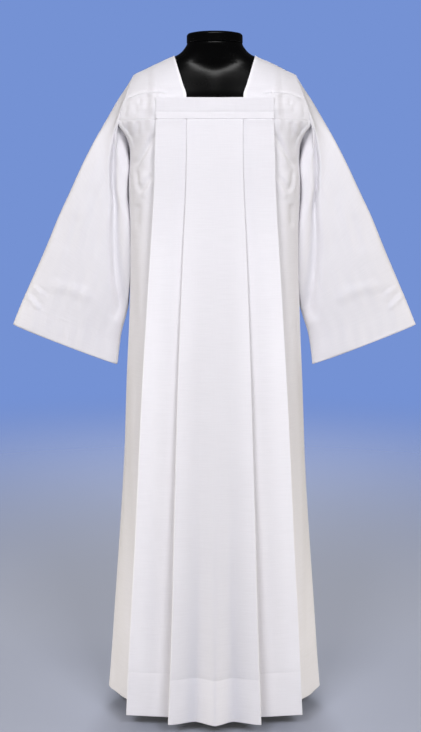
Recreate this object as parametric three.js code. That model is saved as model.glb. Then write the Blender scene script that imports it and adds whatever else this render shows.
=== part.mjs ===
// A white square-yoked alb with pressed box pleats, worn by a limbless dress form on a round stand.
// Millimetres, +Z up. The front of the garment faces -Y and the origin is on the floor under its middle.
// Every piece that a maker cuts is its own closed solid, 0.3 mm or a little more from its neighbours at the seams.
import * as THREE from "three";

// Heights above the floor
const hemHeight = 30;
const waistRow = 1000; // rows of the body above this one are squeezed towards the armhole
const underarmHeight = 1190;
const yokeSeamHeight = 1321.5;
const bandTopHeight = 1366.5;
const ridgeHeight = 1460; // top of the shoulder beside the neck
const backNeckDrop = 0.42; // share of the way from the ridge down to the yoke seam

// Cloth
const wall = 1.2;
const seamGap = 0.35;
const hemDepth = 100; // turned up inside, so the wall is double there
const cuffDepth = 65;
const turnedPly = 0.8;
const bandWall = 3; // cloth, facing and the pleats' seam allowance
const bandHalfWidth = 122.5;
const bandFront = 133.2;
const bandSag = 1.5;
const backLift = 2.15; // from the middle of the shoulder cloth to the middle of the back yoke

// Shoulder line
const ridgeNeckX = 87.4;
const ridgeArmX = 173.2;
const ridgeSlope = 0.452; // fall of the shoulder for each millimetre outwards
const shoulderDepth = 129.3; // of the shoulder cloth where it lies behind the band
const shoulderStep = 24; // how far past the band the cloth takes to reach the side panel

// Front half of the body at each height. Widths are from the middle, depths are forwards from it.
const bodySections = [
  { z: 30, centre: 212.4, flute: 21.7, panelX: 101.6, panel: 205.7, turn: 173, pleatX: 195.1, pleat: 158, tuck: 141, side: 246.5, round: 1.1, pitch: 3.6 },
  { z: 130, centre: 205.6, flute: 17, panelX: 97.1, panel: 200.1, turn: 171, pleatX: 190.3, pleat: 156, tuck: 140, side: 238, round: 1.2, pitch: 3.5 },
  { z: 263, centre: 196.7, flute: 11, panelX: 91.9, panel: 192.7, turn: 168, pleatX: 182.6, pleat: 153.4, tuck: 139, side: 227.5, round: 1.35, pitch: 3.3 },
  { z: 395, centre: 187.9, flute: 7, panelX: 88.4, panel: 185.4, turn: 165, pleatX: 174, pleat: 150.6, tuck: 137.5, side: 217, round: 1.55, pitch: 3 },
  { z: 525, centre: 179.2, flute: 4, panelX: 85.2, panel: 178.2, turn: 161.5, pleatX: 166.8, pleat: 147.6, tuck: 136, side: 208, round: 1.7, pitch: 2.7 },
  { z: 739, centre: 165.3, flute: 1.5, panelX: 78.6, panel: 166.3, turn: 155.5, pleatX: 154.7, pleat: 143.2, tuck: 133, side: 195, round: 1.9, pitch: 2.4 },
  { z: 949, centre: 153.4, flute: 0, panelX: 70.4, panel: 154.6, turn: 148.5, pleatX: 139, pleat: 138.8, tuck: 131, side: 184.5, round: 2, pitch: 2.1 },
  { z: 1074, centre: 147.2, flute: 0, panelX: 64.7, panel: 147.7, turn: 143.5, pleatX: 129.5, pleat: 136.2, tuck: 130.2, side: 177.5, round: 2.1, pitch: 1.9 },
  { z: 1190, centre: 140.8, flute: 0, panelX: 59.2, panel: 140.8, turn: 138, pleatX: 121.8, pleat: 133.6, tuck: 129.3, side: 178.5, round: 2.2, pitch: 1.7 },
  { z: 1260, centre: 136.8, flute: 0, panelX: 57.8, panel: 136.8, turn: 134.7, pleatX: 120.6, pleat: 131.8, tuck: 128.7, side: 184, round: 2.25, pitch: 1.6 },
  { z: 1321.5, centre: 132.6, flute: 0, panelX: 57.6, panel: 132.6, turn: 131.1, pleatX: 122, pleat: 129.6, tuck: 128.1, side: 200, round: 2.3, pitch: 1.5 },
];
const panelTuck = 32; // how far the cloth folds back behind the centre panel
const pleatTuck = 35; // and behind the outer pleat
const panelShares = [0, 0.14, 0.28, 0.41, 0.6, 0.8, 1]; // from the middle to the centre panel's edge
const fluteAt = 0.41; // bottom of the soft flute beside the middle
const pleatSteps = 3;
const sideSteps = 4; // from the outer pleat to the armhole corner
const armholeSteps = 5; // from the corner down to the side seam
const armholeCorner = 0.625; // share of the side panel's turn where the armhole starts
const bodyRows = [30, 129.5, 130, 260, 400, 540, 700, 850, waistRow];
const armholeRows = [0.33, 0.6, 0.78, 0.9, 1];

// The sleeve's weight draws the armhole corner outwards
const flare = { out: 18, height: 1322, depth: 66, tall: 28, deep: 38 };

// From the shoulder ridge down to the yoke seam: share of the depth and of the fall, and both edges' half widths
const shoulderPath = [
  { step: 0, out: 0, drop: 0, neckX: 87.4, armX: 173.2 },
  { step: 1, out: 0.12, drop: 0.004, neckX: 87.2, armX: 173.3 },
  { step: 2, out: 0.3, drop: 0.05, neckX: 85.2, armX: 174.5 },
  { step: 3, out: 0.5, drop: 0.155, neckX: 80.8, armX: 177 },
  { step: 4, out: 0.69, drop: 0.3, neckX: 74.7, armX: 181 },
  { step: 5, out: 0.85, drop: 0.47, neckX: 67.5, armX: 186.5 },
  { step: 6, out: 0.965, drop: 0.66, neckX: 59.6, armX: 193 },
  { step: 7, out: 1, drop: 0.83, neckX: 59, armX: 198 },
  { step: 8, out: 1, drop: 1, neckX: 59, armX: 200 },
];
const shoulderSteps = 8;
const shoulderColumns = 8;

// Right sleeve at shares of its length: the under edge, the upper edge, and the half thickness of the tube
const sleeveSections = [
  { s: 0, underX: 180, underZ: 1190, upperX: 173.2, upperZ: 1421, thick: 66, full: 0.3, fold: 0.62 },
  { s: 0.12, underX: 184, underZ: 1145, upperX: 222, upperZ: 1345, thick: 63, full: 0.22, fold: 0.62 },
  { s: 0.28, underX: 183, underZ: 1080, upperX: 271, upperZ: 1257, thick: 56, full: 0.24, fold: 0.43 },
  { s: 0.5, underX: 186, underZ: 985, upperX: 333, upperZ: 1135, thick: 45, full: 0.36, fold: 0.26 },
  { s: 0.7, underX: 196, underZ: 905, upperX: 385, upperZ: 1023, thick: 35, full: 0.56, fold: 0.19 },
  { s: 0.86, underX: 211.6, underZ: 855, upperX: 418, upperZ: 950, thick: 27, full: 0.8, fold: 0.2 },
  { s: 1, underX: 218.8, underZ: 790.5, upperX: 448.5, upperZ: 880, thick: 21, full: 1, fold: 0.24 },
];
const sleeveRows = [0, 0.06, 0.13, 0.22, 0.33, 0.45, 0.58, 0.7, 0.805];
const sleeveFold = { depth: 13, width: 0.085, ends: 0.8 }; // the long trough down the front
const foldColumn = 6;
const sleeveClear = 1.7; // outwards from the armhole edge, less on top of the shoulder
const sleeveClearTop = 0.8;
const sleeveBlend = 0.26; // share of the length in which the armhole's own outline turns flat
const sleeveSettle = 0.16; // and in which its front corner falls back to the line from under to upper edge

// Dress form: half width and depth at each height
const formSections = [
  { z: 780, wide: 128, front: 92, back: 96 },
  { z: 792, wide: 150, front: 106, back: 110 },
  { z: 880, wide: 158, front: 112, back: 116 },
  { z: 960, wide: 146, front: 104, back: 106 },
  { z: 1060, wide: 124, front: 95, back: 92 },
  { z: 1140, wide: 134, front: 106, back: 100 },
  { z: 1220, wide: 148, front: 117, back: 110 },
  { z: 1290, wide: 158, front: 118, back: 116 },
  { z: 1345, wide: 165, front: 110, back: 114 },
  { z: 1385, wide: 168, front: 98, back: 104 },
  { z: 1410, wide: 166, front: 83, back: 88 },
  { z: 1424, wide: 160, front: 73, back: 76 },
  { z: 1440, wide: 129.4, front: 63, back: 64 },
  { z: 1450, wide: 107.3, front: 57, back: 57 },
  { z: 1458.6, wide: 88.2, front: 55, back: 54 },
  { z: 1463.5, wide: 78.5, front: 55, back: 54 },
  { z: 1470, wide: 70.5, front: 56, back: 55 },
  { z: 1478, wide: 64, front: 57.5, back: 56.5 },
  { z: 1484, wide: 61, front: 57.5, back: 56.5 },
  { z: 1486.5, wide: 59.5, front: 56, back: 55 },
];
const capSections = [
  { z: 1486.85, wide: 59, front: 55.5, back: 54.5 },
  { z: 1489, wide: 60.5, front: 57.5, back: 56.5 },
  { z: 1498, wide: 60, front: 57, back: 56 },
  { z: 1503.5, wide: 56.5, front: 53.5, back: 52.5 },
  { z: 1506.5, wide: 47, front: 44.5, back: 44 },
];
const formSides = 28;
const formSquareness = 2.1;

// Stand
const baseRadius = 130;
const baseHeight = 12;
const hub = { foot: 32, top: 19, height: 56, floor: 10 };
const poleRadius = 12.5;
const flange = { radius: 55, height: 8 };
const standSides = 40;

const formBottom = formSections[0].z;
const cloth = { color: 0xf1f0f5, roughness: 0.9, metalness: 0 };
const blackPlastic = { color: 0x101011, roughness: 0.22, metalness: 0 };
const blackMetal = { color: 0x1a1a1c, roughness: 0.45, metalness: 0.6 };

// Value of one column of a table, on a smooth curve through its rows that never overshoots them.
function columnAt(rows, key, name, at) {
  let i = 0;
  while (i < rows.length - 2 && at > rows[i + 1][key]) i++;
  const secant = (k) => (rows[k + 1][name] - rows[k][name]) / (rows[k + 1][key] - rows[k][key]);
  const slope = (k) => {
    if (k === 0) return secant(0);
    if (k === rows.length - 1) return secant(k - 1);
    const before = secant(k - 1);
    const after = secant(k);
    return before * after <= 0 ? 0 : (2 * before * after) / (before + after);
  };
  const span = rows[i + 1][key] - rows[i][key];
  const t = Math.min(1, Math.max(0, (at - rows[i][key]) / span));
  return (
    rows[i][name] * (1 + 2 * t) * (1 - t) ** 2 +
    slope(i) * span * t * (1 - t) ** 2 +
    rows[i + 1][name] * t * t * (3 - 2 * t) +
    slope(i + 1) * span * t * t * (t - 1)
  );
}

function rowAt(rows, key, at) {
  const made = {};
  for (const name of Object.keys(rows[0])) made[name] = name === key ? at : columnAt(rows, key, name, at);
  return made;
}

const lerp = THREE.MathUtils.lerp;
const fade = (t) => THREE.MathUtils.smoothstep(t, 0, 1);
const bell = (distance, width) => Math.exp(-((distance / width) ** 2));

function flareAt(y, z) {
  return flare.out * bell(z - flare.height, flare.tall) * bell(Math.abs(y) - flare.depth, flare.deep);
}

// One point of the side panel: a squared-off quarter of an ellipse from behind the outer pleat to the side seam.
function sidePoint(section, turn) {
  const angle = (turn * Math.PI) / 2;
  const start = section.pleatX - pleatTuck;
  const depth = section.tuck - section.pitch;
  const x = start + (section.side - start) * Math.sin(angle) ** (2 / section.round);
  const y = -Math.max(depth * Math.max(Math.cos(angle), 0) ** (2 / section.round), seamGap / 2);
  return new THREE.Vector2(x + flareAt(y, section.z), y);
}

// Cross-section of the front of the body at one height, from the middle to the side seam.
function halfProfile(z) {
  const s = rowAt(bodySections, "z", z);
  const points = [];
  for (const q of panelShares) {
    const rise = q < fluteAt ? q / fluteAt : (1 - q) / (1 - fluteAt);
    const hollow = s.flute * lerp(rise, fade(rise), 0.3);
    points.push(new THREE.Vector2(s.panelX * q, hollow - lerp(s.centre, s.panel, q * q)));
  }
  points.push(new THREE.Vector2(s.panelX, s.pitch - s.panel));
  points.push(new THREE.Vector2(s.panelX - panelTuck, -s.turn));
  for (let i = 0; i <= pleatSteps; i++) {
    const q = i / pleatSteps;
    points.push(new THREE.Vector2(lerp(s.panelX - panelTuck, s.pleatX, q), -lerp(s.turn - s.pitch, s.pleat, q)));
  }
  points.push(new THREE.Vector2(s.pleatX, s.pitch - s.pleat));
  points.push(new THREE.Vector2(s.pleatX - pleatTuck, -s.tuck));
  for (const turn of sideTurns) points.push(sidePoint(s, turn));
  return points;
}

const sideTurns = [];
for (let i = 0; i <= sideSteps; i++) sideTurns.push((armholeCorner * i) / sideSteps);
for (let i = 1; i <= armholeSteps; i++) sideTurns.push(lerp(armholeCorner, 1, i / armholeSteps));

// Height of the body's upper edge for a point of the side panel: the yoke seam, then the lower half of the armhole.
function edgeHeight(turn) {
  const past = Math.max(0, (turn - armholeCorner) / (1 - armholeCorner));
  const top = yokeSeamHeight - seamGap / 2;
  return underarmHeight + (top - underarmHeight) * Math.sqrt(Math.max(0, 1 - past * past));
}

// Moves each point of an open line sideways, keeping corners sharp. Positive is outwards from the body.
function offsetLine(line, distanceAt) {
  const normal = (i) => {
    const d = line[i + 1].clone().sub(line[i]).normalize();
    return new THREE.Vector2(d.y, -d.x);
  };
  return line.map((point, i) => {
    const before = normal(Math.max(0, i - 1));
    const after = normal(Math.min(line.length - 2, i));
    const mitre = before.clone().add(after).divideScalar(1 + before.dot(after));
    return point.clone().addScaledVector(mitre, distanceAt);
  });
}

// A closed wall from its outer and inner points, both [row][column]. A closed wall is a tube.
function wallGeometry(outer, inner, isTube) {
  const rows = outer.length;
  const columns = outer[0].length;
  const positions = [];
  for (const side of [outer, inner]) for (const row of side) for (const p of row) positions.push(p.x, p.y, p.z);
  const index = [];
  const id = (side, j, i) => (side * rows + j) * columns + (i % columns);
  const at = (k) => new THREE.Vector3().fromArray(positions, 3 * k);
  const quad = (a, b, c, d) => {
    const straight = at(a).distanceTo(at(c)) <= at(b).distanceTo(at(d));
    index.push(...(straight ? [a, b, c, a, c, d] : [a, b, d, b, c, d]));
  };
  const spans = isTube ? columns : columns - 1;
  for (let j = 0; j < rows - 1; j++) {
    for (let i = 0; i < spans; i++) {
      quad(id(0, j, i), id(0, j, i + 1), id(0, j + 1, i + 1), id(0, j + 1, i));
      quad(id(1, j, i), id(1, j + 1, i), id(1, j + 1, i + 1), id(1, j, i + 1));
    }
  }
  for (let i = 0; i < spans; i++) {
    quad(id(0, 0, i), id(1, 0, i), id(1, 0, i + 1), id(0, 0, i + 1));
    quad(id(0, rows - 1, i), id(0, rows - 1, i + 1), id(1, rows - 1, i + 1), id(1, rows - 1, i));
  }
  for (let j = 0; j < rows - 1 && !isTube; j++) {
    const last = columns - 1;
    quad(id(0, j, 0), id(0, j + 1, 0), id(1, j + 1, 0), id(1, j, 0));
    quad(id(0, j, last), id(1, j, last), id(1, j + 1, last), id(0, j + 1, last));
  }
  const geometry = new THREE.BufferGeometry();
  geometry.setAttribute("position", new THREE.Float32BufferAttribute(positions, 3));
  geometry.setIndex(index);
  return geometry;
}

// A wall round a surface given as points [row][column]: each point moves along the surface's own normal.
function surfaceWall(points, isTube, outAt, inAt) {
  const rows = points.length;
  const columns = points[0].length;
  const normalAt = (j, i) => {
    const left = isTube ? (i + columns - 1) % columns : Math.max(0, i - 1);
    const right = isTube ? (i + 1) % columns : Math.min(columns - 1, i + 1);
    const across = points[j][right].clone().sub(points[j][left]);
    const along = points[Math.min(rows - 1, j + 1)][i].clone().sub(points[Math.max(0, j - 1)][i]);
    return across.cross(along).normalize();
  };
  const moved = (distanceAt) =>
    points.map((row, j) => row.map((p, i) => p.clone().addScaledVector(normalAt(j, i), distanceAt(j, i))));
  return wallGeometry(moved(outAt), moved((j, i) => -inAt(j, i)), isTube);
}

// Front of the body: one cloth from side seam to side seam, folded into the centre panel and two outer pleats.
function bodyGeometry() {
  const half = halfProfile(hemHeight).length;
  const firstSide = half - sideTurns.length;
  const heightsAt = (i) => {
    const fromMiddle = Math.abs(i - (half - 1));
    const top = fromMiddle < firstSide ? edgeHeight(0) : edgeHeight(sideTurns[fromMiddle - firstSide]);
    return [...bodyRows, ...armholeRows.map((share) => lerp(waistRow, top, share))];
  };
  const columns = [];
  for (let i = 0; i < 2 * half - 1; i++) {
    columns.push(
      heightsAt(i).map((z) => {
        const right = halfProfile(z);
        const left = right.slice(1).reverse();
        const line = [...left.map((p) => new THREE.Vector2(-p.x, p.y)), ...right];
        const lined = z < hemHeight + hemDepth ? turnedPly : 0;
        const out = offsetLine(line, wall / 2)[i];
        const inside = offsetLine(line, -wall / 2 - lined)[i];
        const front = (p) => new THREE.Vector3(p.x, Math.min(p.y, -seamGap / 2), z);
        return { out: front(out), inside: front(inside) };
      }),
    );
  }
  const rows = columns[0].map((_, j) => columns.map((column) => column[j]));
  return wallGeometry(
    rows.map((row) => row.map((p) => p.out)),
    rows.map((row) => row.map((p) => p.inside)),
    false,
  );
}

// Depth of the yoke seam at a half width: flat behind the band, then along the top of the side panel.
const topSection = rowAt(bodySections, "z", yokeSeamHeight);
function seamDepth(x) {
  let low = 0;
  let high = armholeCorner;
  for (let i = 0; i < 30; i++) {
    const middle = (low + high) / 2;
    if (sidePoint(topSection, middle).x < x) low = middle;
    else high = middle;
  }
  const side = -sidePoint(topSection, low).y;
  return lerp(shoulderDepth, side, fade((x - bandHalfWidth) / shoulderStep));
}

// Right half of the upper cloth. Across is 0 at the neckline and 1 at the armhole; fall is -1 at the front seam,
// 0 on the shoulder ridge and 1 at the back seam.
function shoulderPoint(across, fall) {
  const path = rowAt(shoulderPath, "step", Math.abs(fall) * shoulderSteps);
  const corner = sidePoint(topSection, armholeCorner);
  const neckEnd = shoulderPath[shoulderSteps].neckX;
  const top = ridgeHeight - ridgeSlope * (lerp(ridgeNeckX, ridgeArmX, across) - ridgeNeckX);
  const seam = yokeSeamHeight + seamGap / 2;
  const reach = (corner.x - neckEnd) / (shoulderPath[shoulderSteps].armX - neckEnd);
  const armX = neckEnd + (path.armX - neckEnd) * lerp(1, reach, path.drop);
  const depth = seamDepth(lerp(neckEnd, corner.x, across)) * path.out;
  return new THREE.Vector3(lerp(path.neckX, armX, across), Math.sign(fall) * depth, lerp(top, seam, path.drop));
}

function shoulderGeometry() {
  const rows = [];
  for (let j = -shoulderSteps; j <= shoulderSteps; j++) {
    const row = [];
    for (let i = 0; i <= shoulderColumns; i++) row.push(shoulderPoint(i / shoulderColumns, j / shoulderSteps));
    rows.push(row);
  }
  return surfaceWall(rows, false, () => wall / 2, () => wall / 2);
}

// Front yoke: a flat band whose upper edge is the neckline and whose lower edge holds the pleats.
function frontBandGeometry() {
  const outline = new THREE.Shape();
  const low = yokeSeamHeight + seamGap / 2;
  outline.moveTo(-bandHalfWidth, low);
  outline.lineTo(bandHalfWidth, low);
  outline.lineTo(bandHalfWidth, bandTopHeight);
  outline.quadraticCurveTo(0, bandTopHeight - 2 * bandSag, -bandHalfWidth, bandTopHeight);
  const geometry = new THREE.ExtrudeGeometry(outline, { depth: bandWall, bevelEnabled: false, curveSegments: 10 });
  geometry.rotateX(Math.PI / 2);
  geometry.translate(0, bandWall - bandFront, 0);
  return geometry;
}

// Back yoke: lies on the shoulder cloth's back, from the seam up to the back of the neckline.
function backYokeGeometry() {
  const neckEnd = shoulderPath[shoulderSteps].neckX;
  const bottom = sidePoint(topSection, armholeCorner).x;
  const edgeAcross = (bandHalfWidth - neckEnd) / (bottom - neckEnd);
  const steps = 7;
  const halfColumns = 6;
  const rows = [];
  for (let j = 0; j <= steps; j++) {
    const stepNow = lerp(shoulderSteps, stepAtDrop(backNeckDrop), j / steps) / shoulderSteps;
    const neck = shoulderPoint(0, stepNow);
    const edge = shoulderPoint(edgeAcross, stepNow);
    const row = [];
    for (let i = -halfColumns; i <= halfColumns; i++) {
      const q = Math.abs(i) / halfColumns;
      const x = edge.x * q;
      const share = Math.max(0, (x - neck.x) / (edge.x - neck.x));
      const below = shoulderPoint(edgeAcross * share, stepNow);
      row.push(new THREE.Vector3(Math.sign(i) * x, below.y, below.z));
    }
    rows.push(row.reverse());
  }
  return surfaceWall(rows, false, () => backLift + wall / 2, () => wall / 2 - backLift);
}

function stepAtDrop(drop) {
  let step = 0;
  while (columnAt(shoulderPath, "step", "drop", step) < drop) step += 0.01;
  return step;
}

// The sleeve's first outline: just outside the armhole's edge, from the underarm up the front and down the back.
function armholeRing() {
  const lower = sideTurns
    .filter((turn) => turn > armholeCorner)
    .map((turn) => {
      const z = edgeHeight(turn);
      const p = sidePoint(rowAt(bodySections, "z", z), turn);
      return new THREE.Vector3(p.x + sleeveClear, turn === 1 ? 0 : p.y, z);
    })
    .reverse();
  const upper = [];
  for (let j = -shoulderSteps; j <= 0; j++) {
    const p = shoulderPoint(1, j / shoulderSteps);
    p.x += lerp(sleeveClearTop, sleeveClear, Math.sqrt(-j / shoulderSteps));
    upper.push(p);
  }
  const front = [...lower, ...upper];
  const back = front.slice(1, -1).reverse();
  return [...front, ...back.map((p) => new THREE.Vector3(p.x, -p.y, p.z))];
}

// The sleeve's outline at a share of its length is worked out beside the line from its under to its upper edge:
// the share along that line, how far past it towards the cuff, and the depth. The armhole's own outline passes
// smoothly into a flat one, and one column of points follows the fold down the front.
function sleeveOutline(ring, s) {
  const at = rowAt(sleeveSections, "s", s);
  const under = new THREE.Vector3(at.underX, 0, at.underZ);
  const chord = new THREE.Vector3(at.upperX, 0, at.upperZ).sub(under);
  const past = new THREE.Vector3(chord.z, 0, -chord.x).normalize();
  const creased = sleeveFold.depth * fade(s / 0.2) * fade((sleeveFold.ends - s) / 0.35);
  const half = ring.length / 2;
  const flat = fade(s / sleeveBlend);
  return ring.map((start, k) => {
    const i = Math.min(k, ring.length - k);
    const before = at.fold * (1 - Math.cos((Math.PI / 2) * (i / foldColumn)));
    const after = at.fold + (1 - at.fold) * Math.sin((Math.PI / 2) * ((i - foldColumn) / (half - foldColumn)));
    const along = i < foldColumn ? before : after;
    const thick = at.thick * Math.max(0, 4 * along * (1 - along)) ** (at.full / 2);
    const crease = k < half ? Math.min(thick / 2, creased * bell(along - at.fold, sleeveFold.width)) : 0;
    const side = k < half ? -1 : 1;
    const point = under.clone().addScaledVector(chord, lerp(start.along, along, flat));
    point.addScaledVector(past, start.past * (1 - fade(s / sleeveSettle)));
    point.y = side * (lerp(start.depth, thick, flat) - crease);
    return point;
  });
}

function sleeveGeometry() {
  const first = sleeveSections[0];
  const under = new THREE.Vector3(first.underX, 0, first.underZ);
  const chord = new THREE.Vector3(first.upperX, 0, first.upperZ).sub(under);
  const past = new THREE.Vector3(chord.z, 0, -chord.x).normalize();
  const ring = armholeRing().map((p) => {
    const from = p.clone().sub(under);
    return { along: from.dot(chord) / chord.lengthSq(), past: from.dot(past), depth: Math.abs(p.y) };
  });
  const cuffStart = 1 - cuffDepth / 612;
  const shares = [...sleeveRows, cuffStart - 0.002, cuffStart, 1];
  const rows = shares.map((s) => sleeveOutline(ring, s));
  const lined = (j) => (shares[j] >= cuffStart ? turnedPly : 0);
  return surfaceWall(rows, true, () => wall / 2, (j) => wall / 2 + lined(j));
}

// A solid through closed outlines stacked upwards, flat at both ends.
function stackGeometry(rings) {
  const positions = [];
  const index = [];
  const count = rings[0].length;
  for (const ring of rings) for (const p of ring) positions.push(p.x, p.y, p.z);
  for (let j = 0; j < rings.length - 1; j++) {
    for (let i = 0; i < count; i++) {
      const a = j * count + i;
      const b = j * count + ((i + 1) % count);
      index.push(a, b, b + count, a, b + count, a + count);
    }
  }
  const last = (rings.length - 1) * count;
  for (let i = 1; i < count - 1; i++) {
    index.push(0, i + 1, i);
    index.push(last, last + i, last + i + 1);
  }
  const geometry = new THREE.BufferGeometry();
  geometry.setAttribute("position", new THREE.Float32BufferAttribute(positions, 3));
  geometry.setIndex(index);
  return geometry;
}

function formGeometry(sections) {
  const power = 2 / formSquareness;
  const signed = (v) => Math.sign(v) * Math.abs(v) ** power;
  return stackGeometry(
    sections.map((s) => {
      const ring = [];
      for (let i = 0; i < formSides; i++) {
        const angle = (2 * Math.PI * i) / formSides;
        const y = signed(Math.sin(angle));
        ring.push(new THREE.Vector3(s.wide * signed(Math.cos(angle)), y * (y < 0 ? s.front : s.back), s.z));
      }
      return ring;
    }),
  );
}

// A turned piece from its profile of radius and height, upright.
function turned(profile) {
  const points = profile.map(([radius, height]) => new THREE.Vector2(radius, height));
  return new THREE.LatheGeometry(points, standSides).rotateX(Math.PI / 2);
}

function baseGeometry() {
  const bore = poleRadius + seamGap;
  return turned([
    [0, 0],
    [baseRadius, 0],
    [baseRadius, baseHeight - 2],
    [baseRadius - 2, baseHeight],
    [hub.foot, baseHeight],
    [hub.top, baseHeight + 12],
    [hub.top, hub.height],
    [bore, hub.height],
    [bore, hub.floor],
    [0, hub.floor],
  ]);
}

function poleGeometry() {
  const top = formBottom - seamGap;
  return turned([
    [0, hub.floor + seamGap],
    [poleRadius, hub.floor + seamGap],
    [poleRadius, top - flange.height],
    [flange.radius, top - flange.height],
    [flange.radius, top],
    [0, top],
  ]);
}

const alb = new THREE.Group();
function add(name, geometry, material, mirror) {
  const mesh = new THREE.Mesh(geometry, new THREE.MeshStandardMaterial(material));
  mesh.name = name;
  if (mirror === "x") mesh.scale.x = -1;
  if (mirror === "y") mesh.scale.y = -1;
  alb.add(mesh);
}

add("front_body", bodyGeometry(), cloth);
add("back_body", bodyGeometry(), cloth, "y");
add("front_yoke", frontBandGeometry(), cloth);
add("back_yoke", backYokeGeometry(), cloth);
add("shoulder_left", shoulderGeometry(), cloth);
add("shoulder_right", shoulderGeometry(), cloth, "x");
add("sleeve_left", sleeveGeometry(), cloth);
add("sleeve_right", sleeveGeometry(), cloth, "x");
add("form_torso", formGeometry(formSections), blackPlastic);
add("form_neck_cap", formGeometry(capSections), blackPlastic);
add("stand_pole", poleGeometry(), blackMetal);
add("stand_base", baseGeometry(), blackMetal);

export default alb;
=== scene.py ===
import math

import bpy
import numpy as np
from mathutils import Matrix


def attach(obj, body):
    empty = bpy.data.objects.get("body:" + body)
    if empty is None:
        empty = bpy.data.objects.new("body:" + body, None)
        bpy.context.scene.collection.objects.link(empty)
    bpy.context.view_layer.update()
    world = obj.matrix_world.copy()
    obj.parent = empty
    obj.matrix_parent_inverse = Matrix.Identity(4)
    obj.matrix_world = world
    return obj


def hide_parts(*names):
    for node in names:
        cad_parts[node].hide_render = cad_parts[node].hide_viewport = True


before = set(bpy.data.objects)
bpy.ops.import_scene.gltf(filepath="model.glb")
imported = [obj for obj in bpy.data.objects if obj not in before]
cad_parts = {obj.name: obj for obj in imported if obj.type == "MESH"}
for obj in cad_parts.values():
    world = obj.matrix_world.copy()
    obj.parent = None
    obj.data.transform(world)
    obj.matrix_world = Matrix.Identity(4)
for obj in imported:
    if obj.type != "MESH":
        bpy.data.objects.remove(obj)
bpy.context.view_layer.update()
print("frame loaded:", len(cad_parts), "nodes")

mm = 0.001  # all shapes below are worked out in millimetres, in the frame's own axes


# small tools shared by the pieces

def curveThrough(xs, ys, at):
    # monotone cubic: y = Hermite(t), inner slopes are the harmonic mean of the two spans beside them
    xs, ys = np.asarray(xs, float), np.asarray(ys, float)
    secant = np.diff(ys) / np.diff(xs)
    same = secant[:-1] * secant[1:] > 0
    inner = np.where(same, 2 * secant[:-1] * secant[1:] / np.where(same, secant[:-1] + secant[1:], 1), 0)
    slope = np.concatenate([secant[:1], inner, secant[-1:]])
    i = np.clip(np.searchsorted(xs, at, side="right") - 1, 0, len(xs) - 2)
    span = xs[i + 1] - xs[i]
    t = np.clip((at - xs[i]) / span, 0, 1)
    return (ys[i] * (1 + 2 * t) * (1 - t) ** 2 + slope[i] * span * t * (1 - t) ** 2
            + ys[i + 1] * t * t * (3 - 2 * t) + slope[i + 1] * span * t * t * (t - 1))


def tableAt(table, key, at):
    # every column of a table at the heights or shares asked for
    return {name: curveThrough(table[key], table[name], at) for name in table if name != key}


def smooth(t):
    # 3t^2 - 2t^3 between 0 and 1
    t = np.clip(t, 0, 1)
    return t * t * (3 - 2 * t)


def bell(distance, width):
    # exp(-(d/w)^2)
    return np.exp(-(distance / width) ** 2)


def swell(distance, shape):
    # shape is (height, width): height * bell(distance, width)
    return shape[0] * bell(distance, shape[1])


def ramp(value, start, width):
    # 0 up to start, 1 from start + width on, smooth between; a negative width rises downwards
    return smooth((value - start) / width)


def between(value, rise, fall):
    # rises over one (start, width) and falls again over the other
    return ramp(value, *rise) * (1 - ramp(value, *fall))


def mix(a, b, t):
    # a at t = 0, b at t = 1, straight between
    return a + (b - a) * t


def softNoise(u, v, scaleU, scaleV, seed, waves=7):
    # sum of sines: sin(2 pi (a u / scaleU + b v / scaleV) + phase), a and b near 1, scaled to about +-1
    draw = np.random.default_rng(seed)
    total = np.zeros(np.broadcast(u, v).shape)
    for _ in range(waves):
        a, b = draw.uniform(-1.3, 1.3, 2)
        total += np.sin(2 * math.pi * (a * u / scaleU + b * v / scaleV) + draw.uniform(0, 2 * math.pi))
    return total / math.sqrt(waves) * 0.8


def creaseField(x, z, creases):
    # each crease is a bent line from start to end: height = depth * bell(distance, width) * fade at its ends
    total = np.zeros(np.shape(x))
    for crease in creases:
        (x0, z0), (x1, z1), (x2, z2) = crease["line"]
        best = np.full(np.shape(x), 1e9)
        share = np.zeros(np.shape(x))
        steps = 10
        ts = np.linspace(0, 1, steps + 1)
        px = (1 - ts) ** 2 * x0 + 2 * ts * (1 - ts) * x1 + ts ** 2 * x2
        pz = (1 - ts) ** 2 * z0 + 2 * ts * (1 - ts) * z1 + ts ** 2 * z2
        for k in range(steps):
            dx, dz = px[k + 1] - px[k], pz[k + 1] - pz[k]
            t = np.clip(((x - px[k]) * dx + (z - pz[k]) * dz) / (dx * dx + dz * dz), 0, 1)
            off = np.hypot(x - px[k] - t * dx, z - pz[k] - t * dz)
            nearer = off < best
            best = np.where(nearer, off, best)
            share = np.where(nearer, (k + t) / steps, share)
        ends = smooth(share / crease.get("fadeIn", 0.25)) * smooth((1 - share) / crease.get("fadeOut", 0.25))
        total += crease["depth"] * bell(best, crease["width"]) * ends
    return total


def gridNormals(points, closed=False):
    # cross product of the steps along the columns and along the rows
    if closed:
        across = np.roll(points, -1, 1) - np.roll(points, 1, 1)
    else:
        across = np.gradient(points, axis=1)
    along = np.gradient(points, axis=0)
    normal = np.cross(across, along)
    return normal / np.maximum(np.linalg.norm(normal, axis=2, keepdims=True), 1e-9)


def arcLength(points, closed=False):
    # running length along each row of a grid, in millimetres
    ahead = np.roll(points, -1, 1) if closed else points[:, 1:]
    steps = np.linalg.norm(ahead - (points if closed else points[:, :-1]), axis=2)
    return np.concatenate([np.zeros((len(points), 1)), np.cumsum(steps, axis=1)], axis=1)


def sceneObject(name, data):
    # an object at the origin, in the scene's own collection
    made = bpy.data.objects.new(name, data)
    bpy.context.scene.collection.objects.link(made)
    return made


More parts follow.
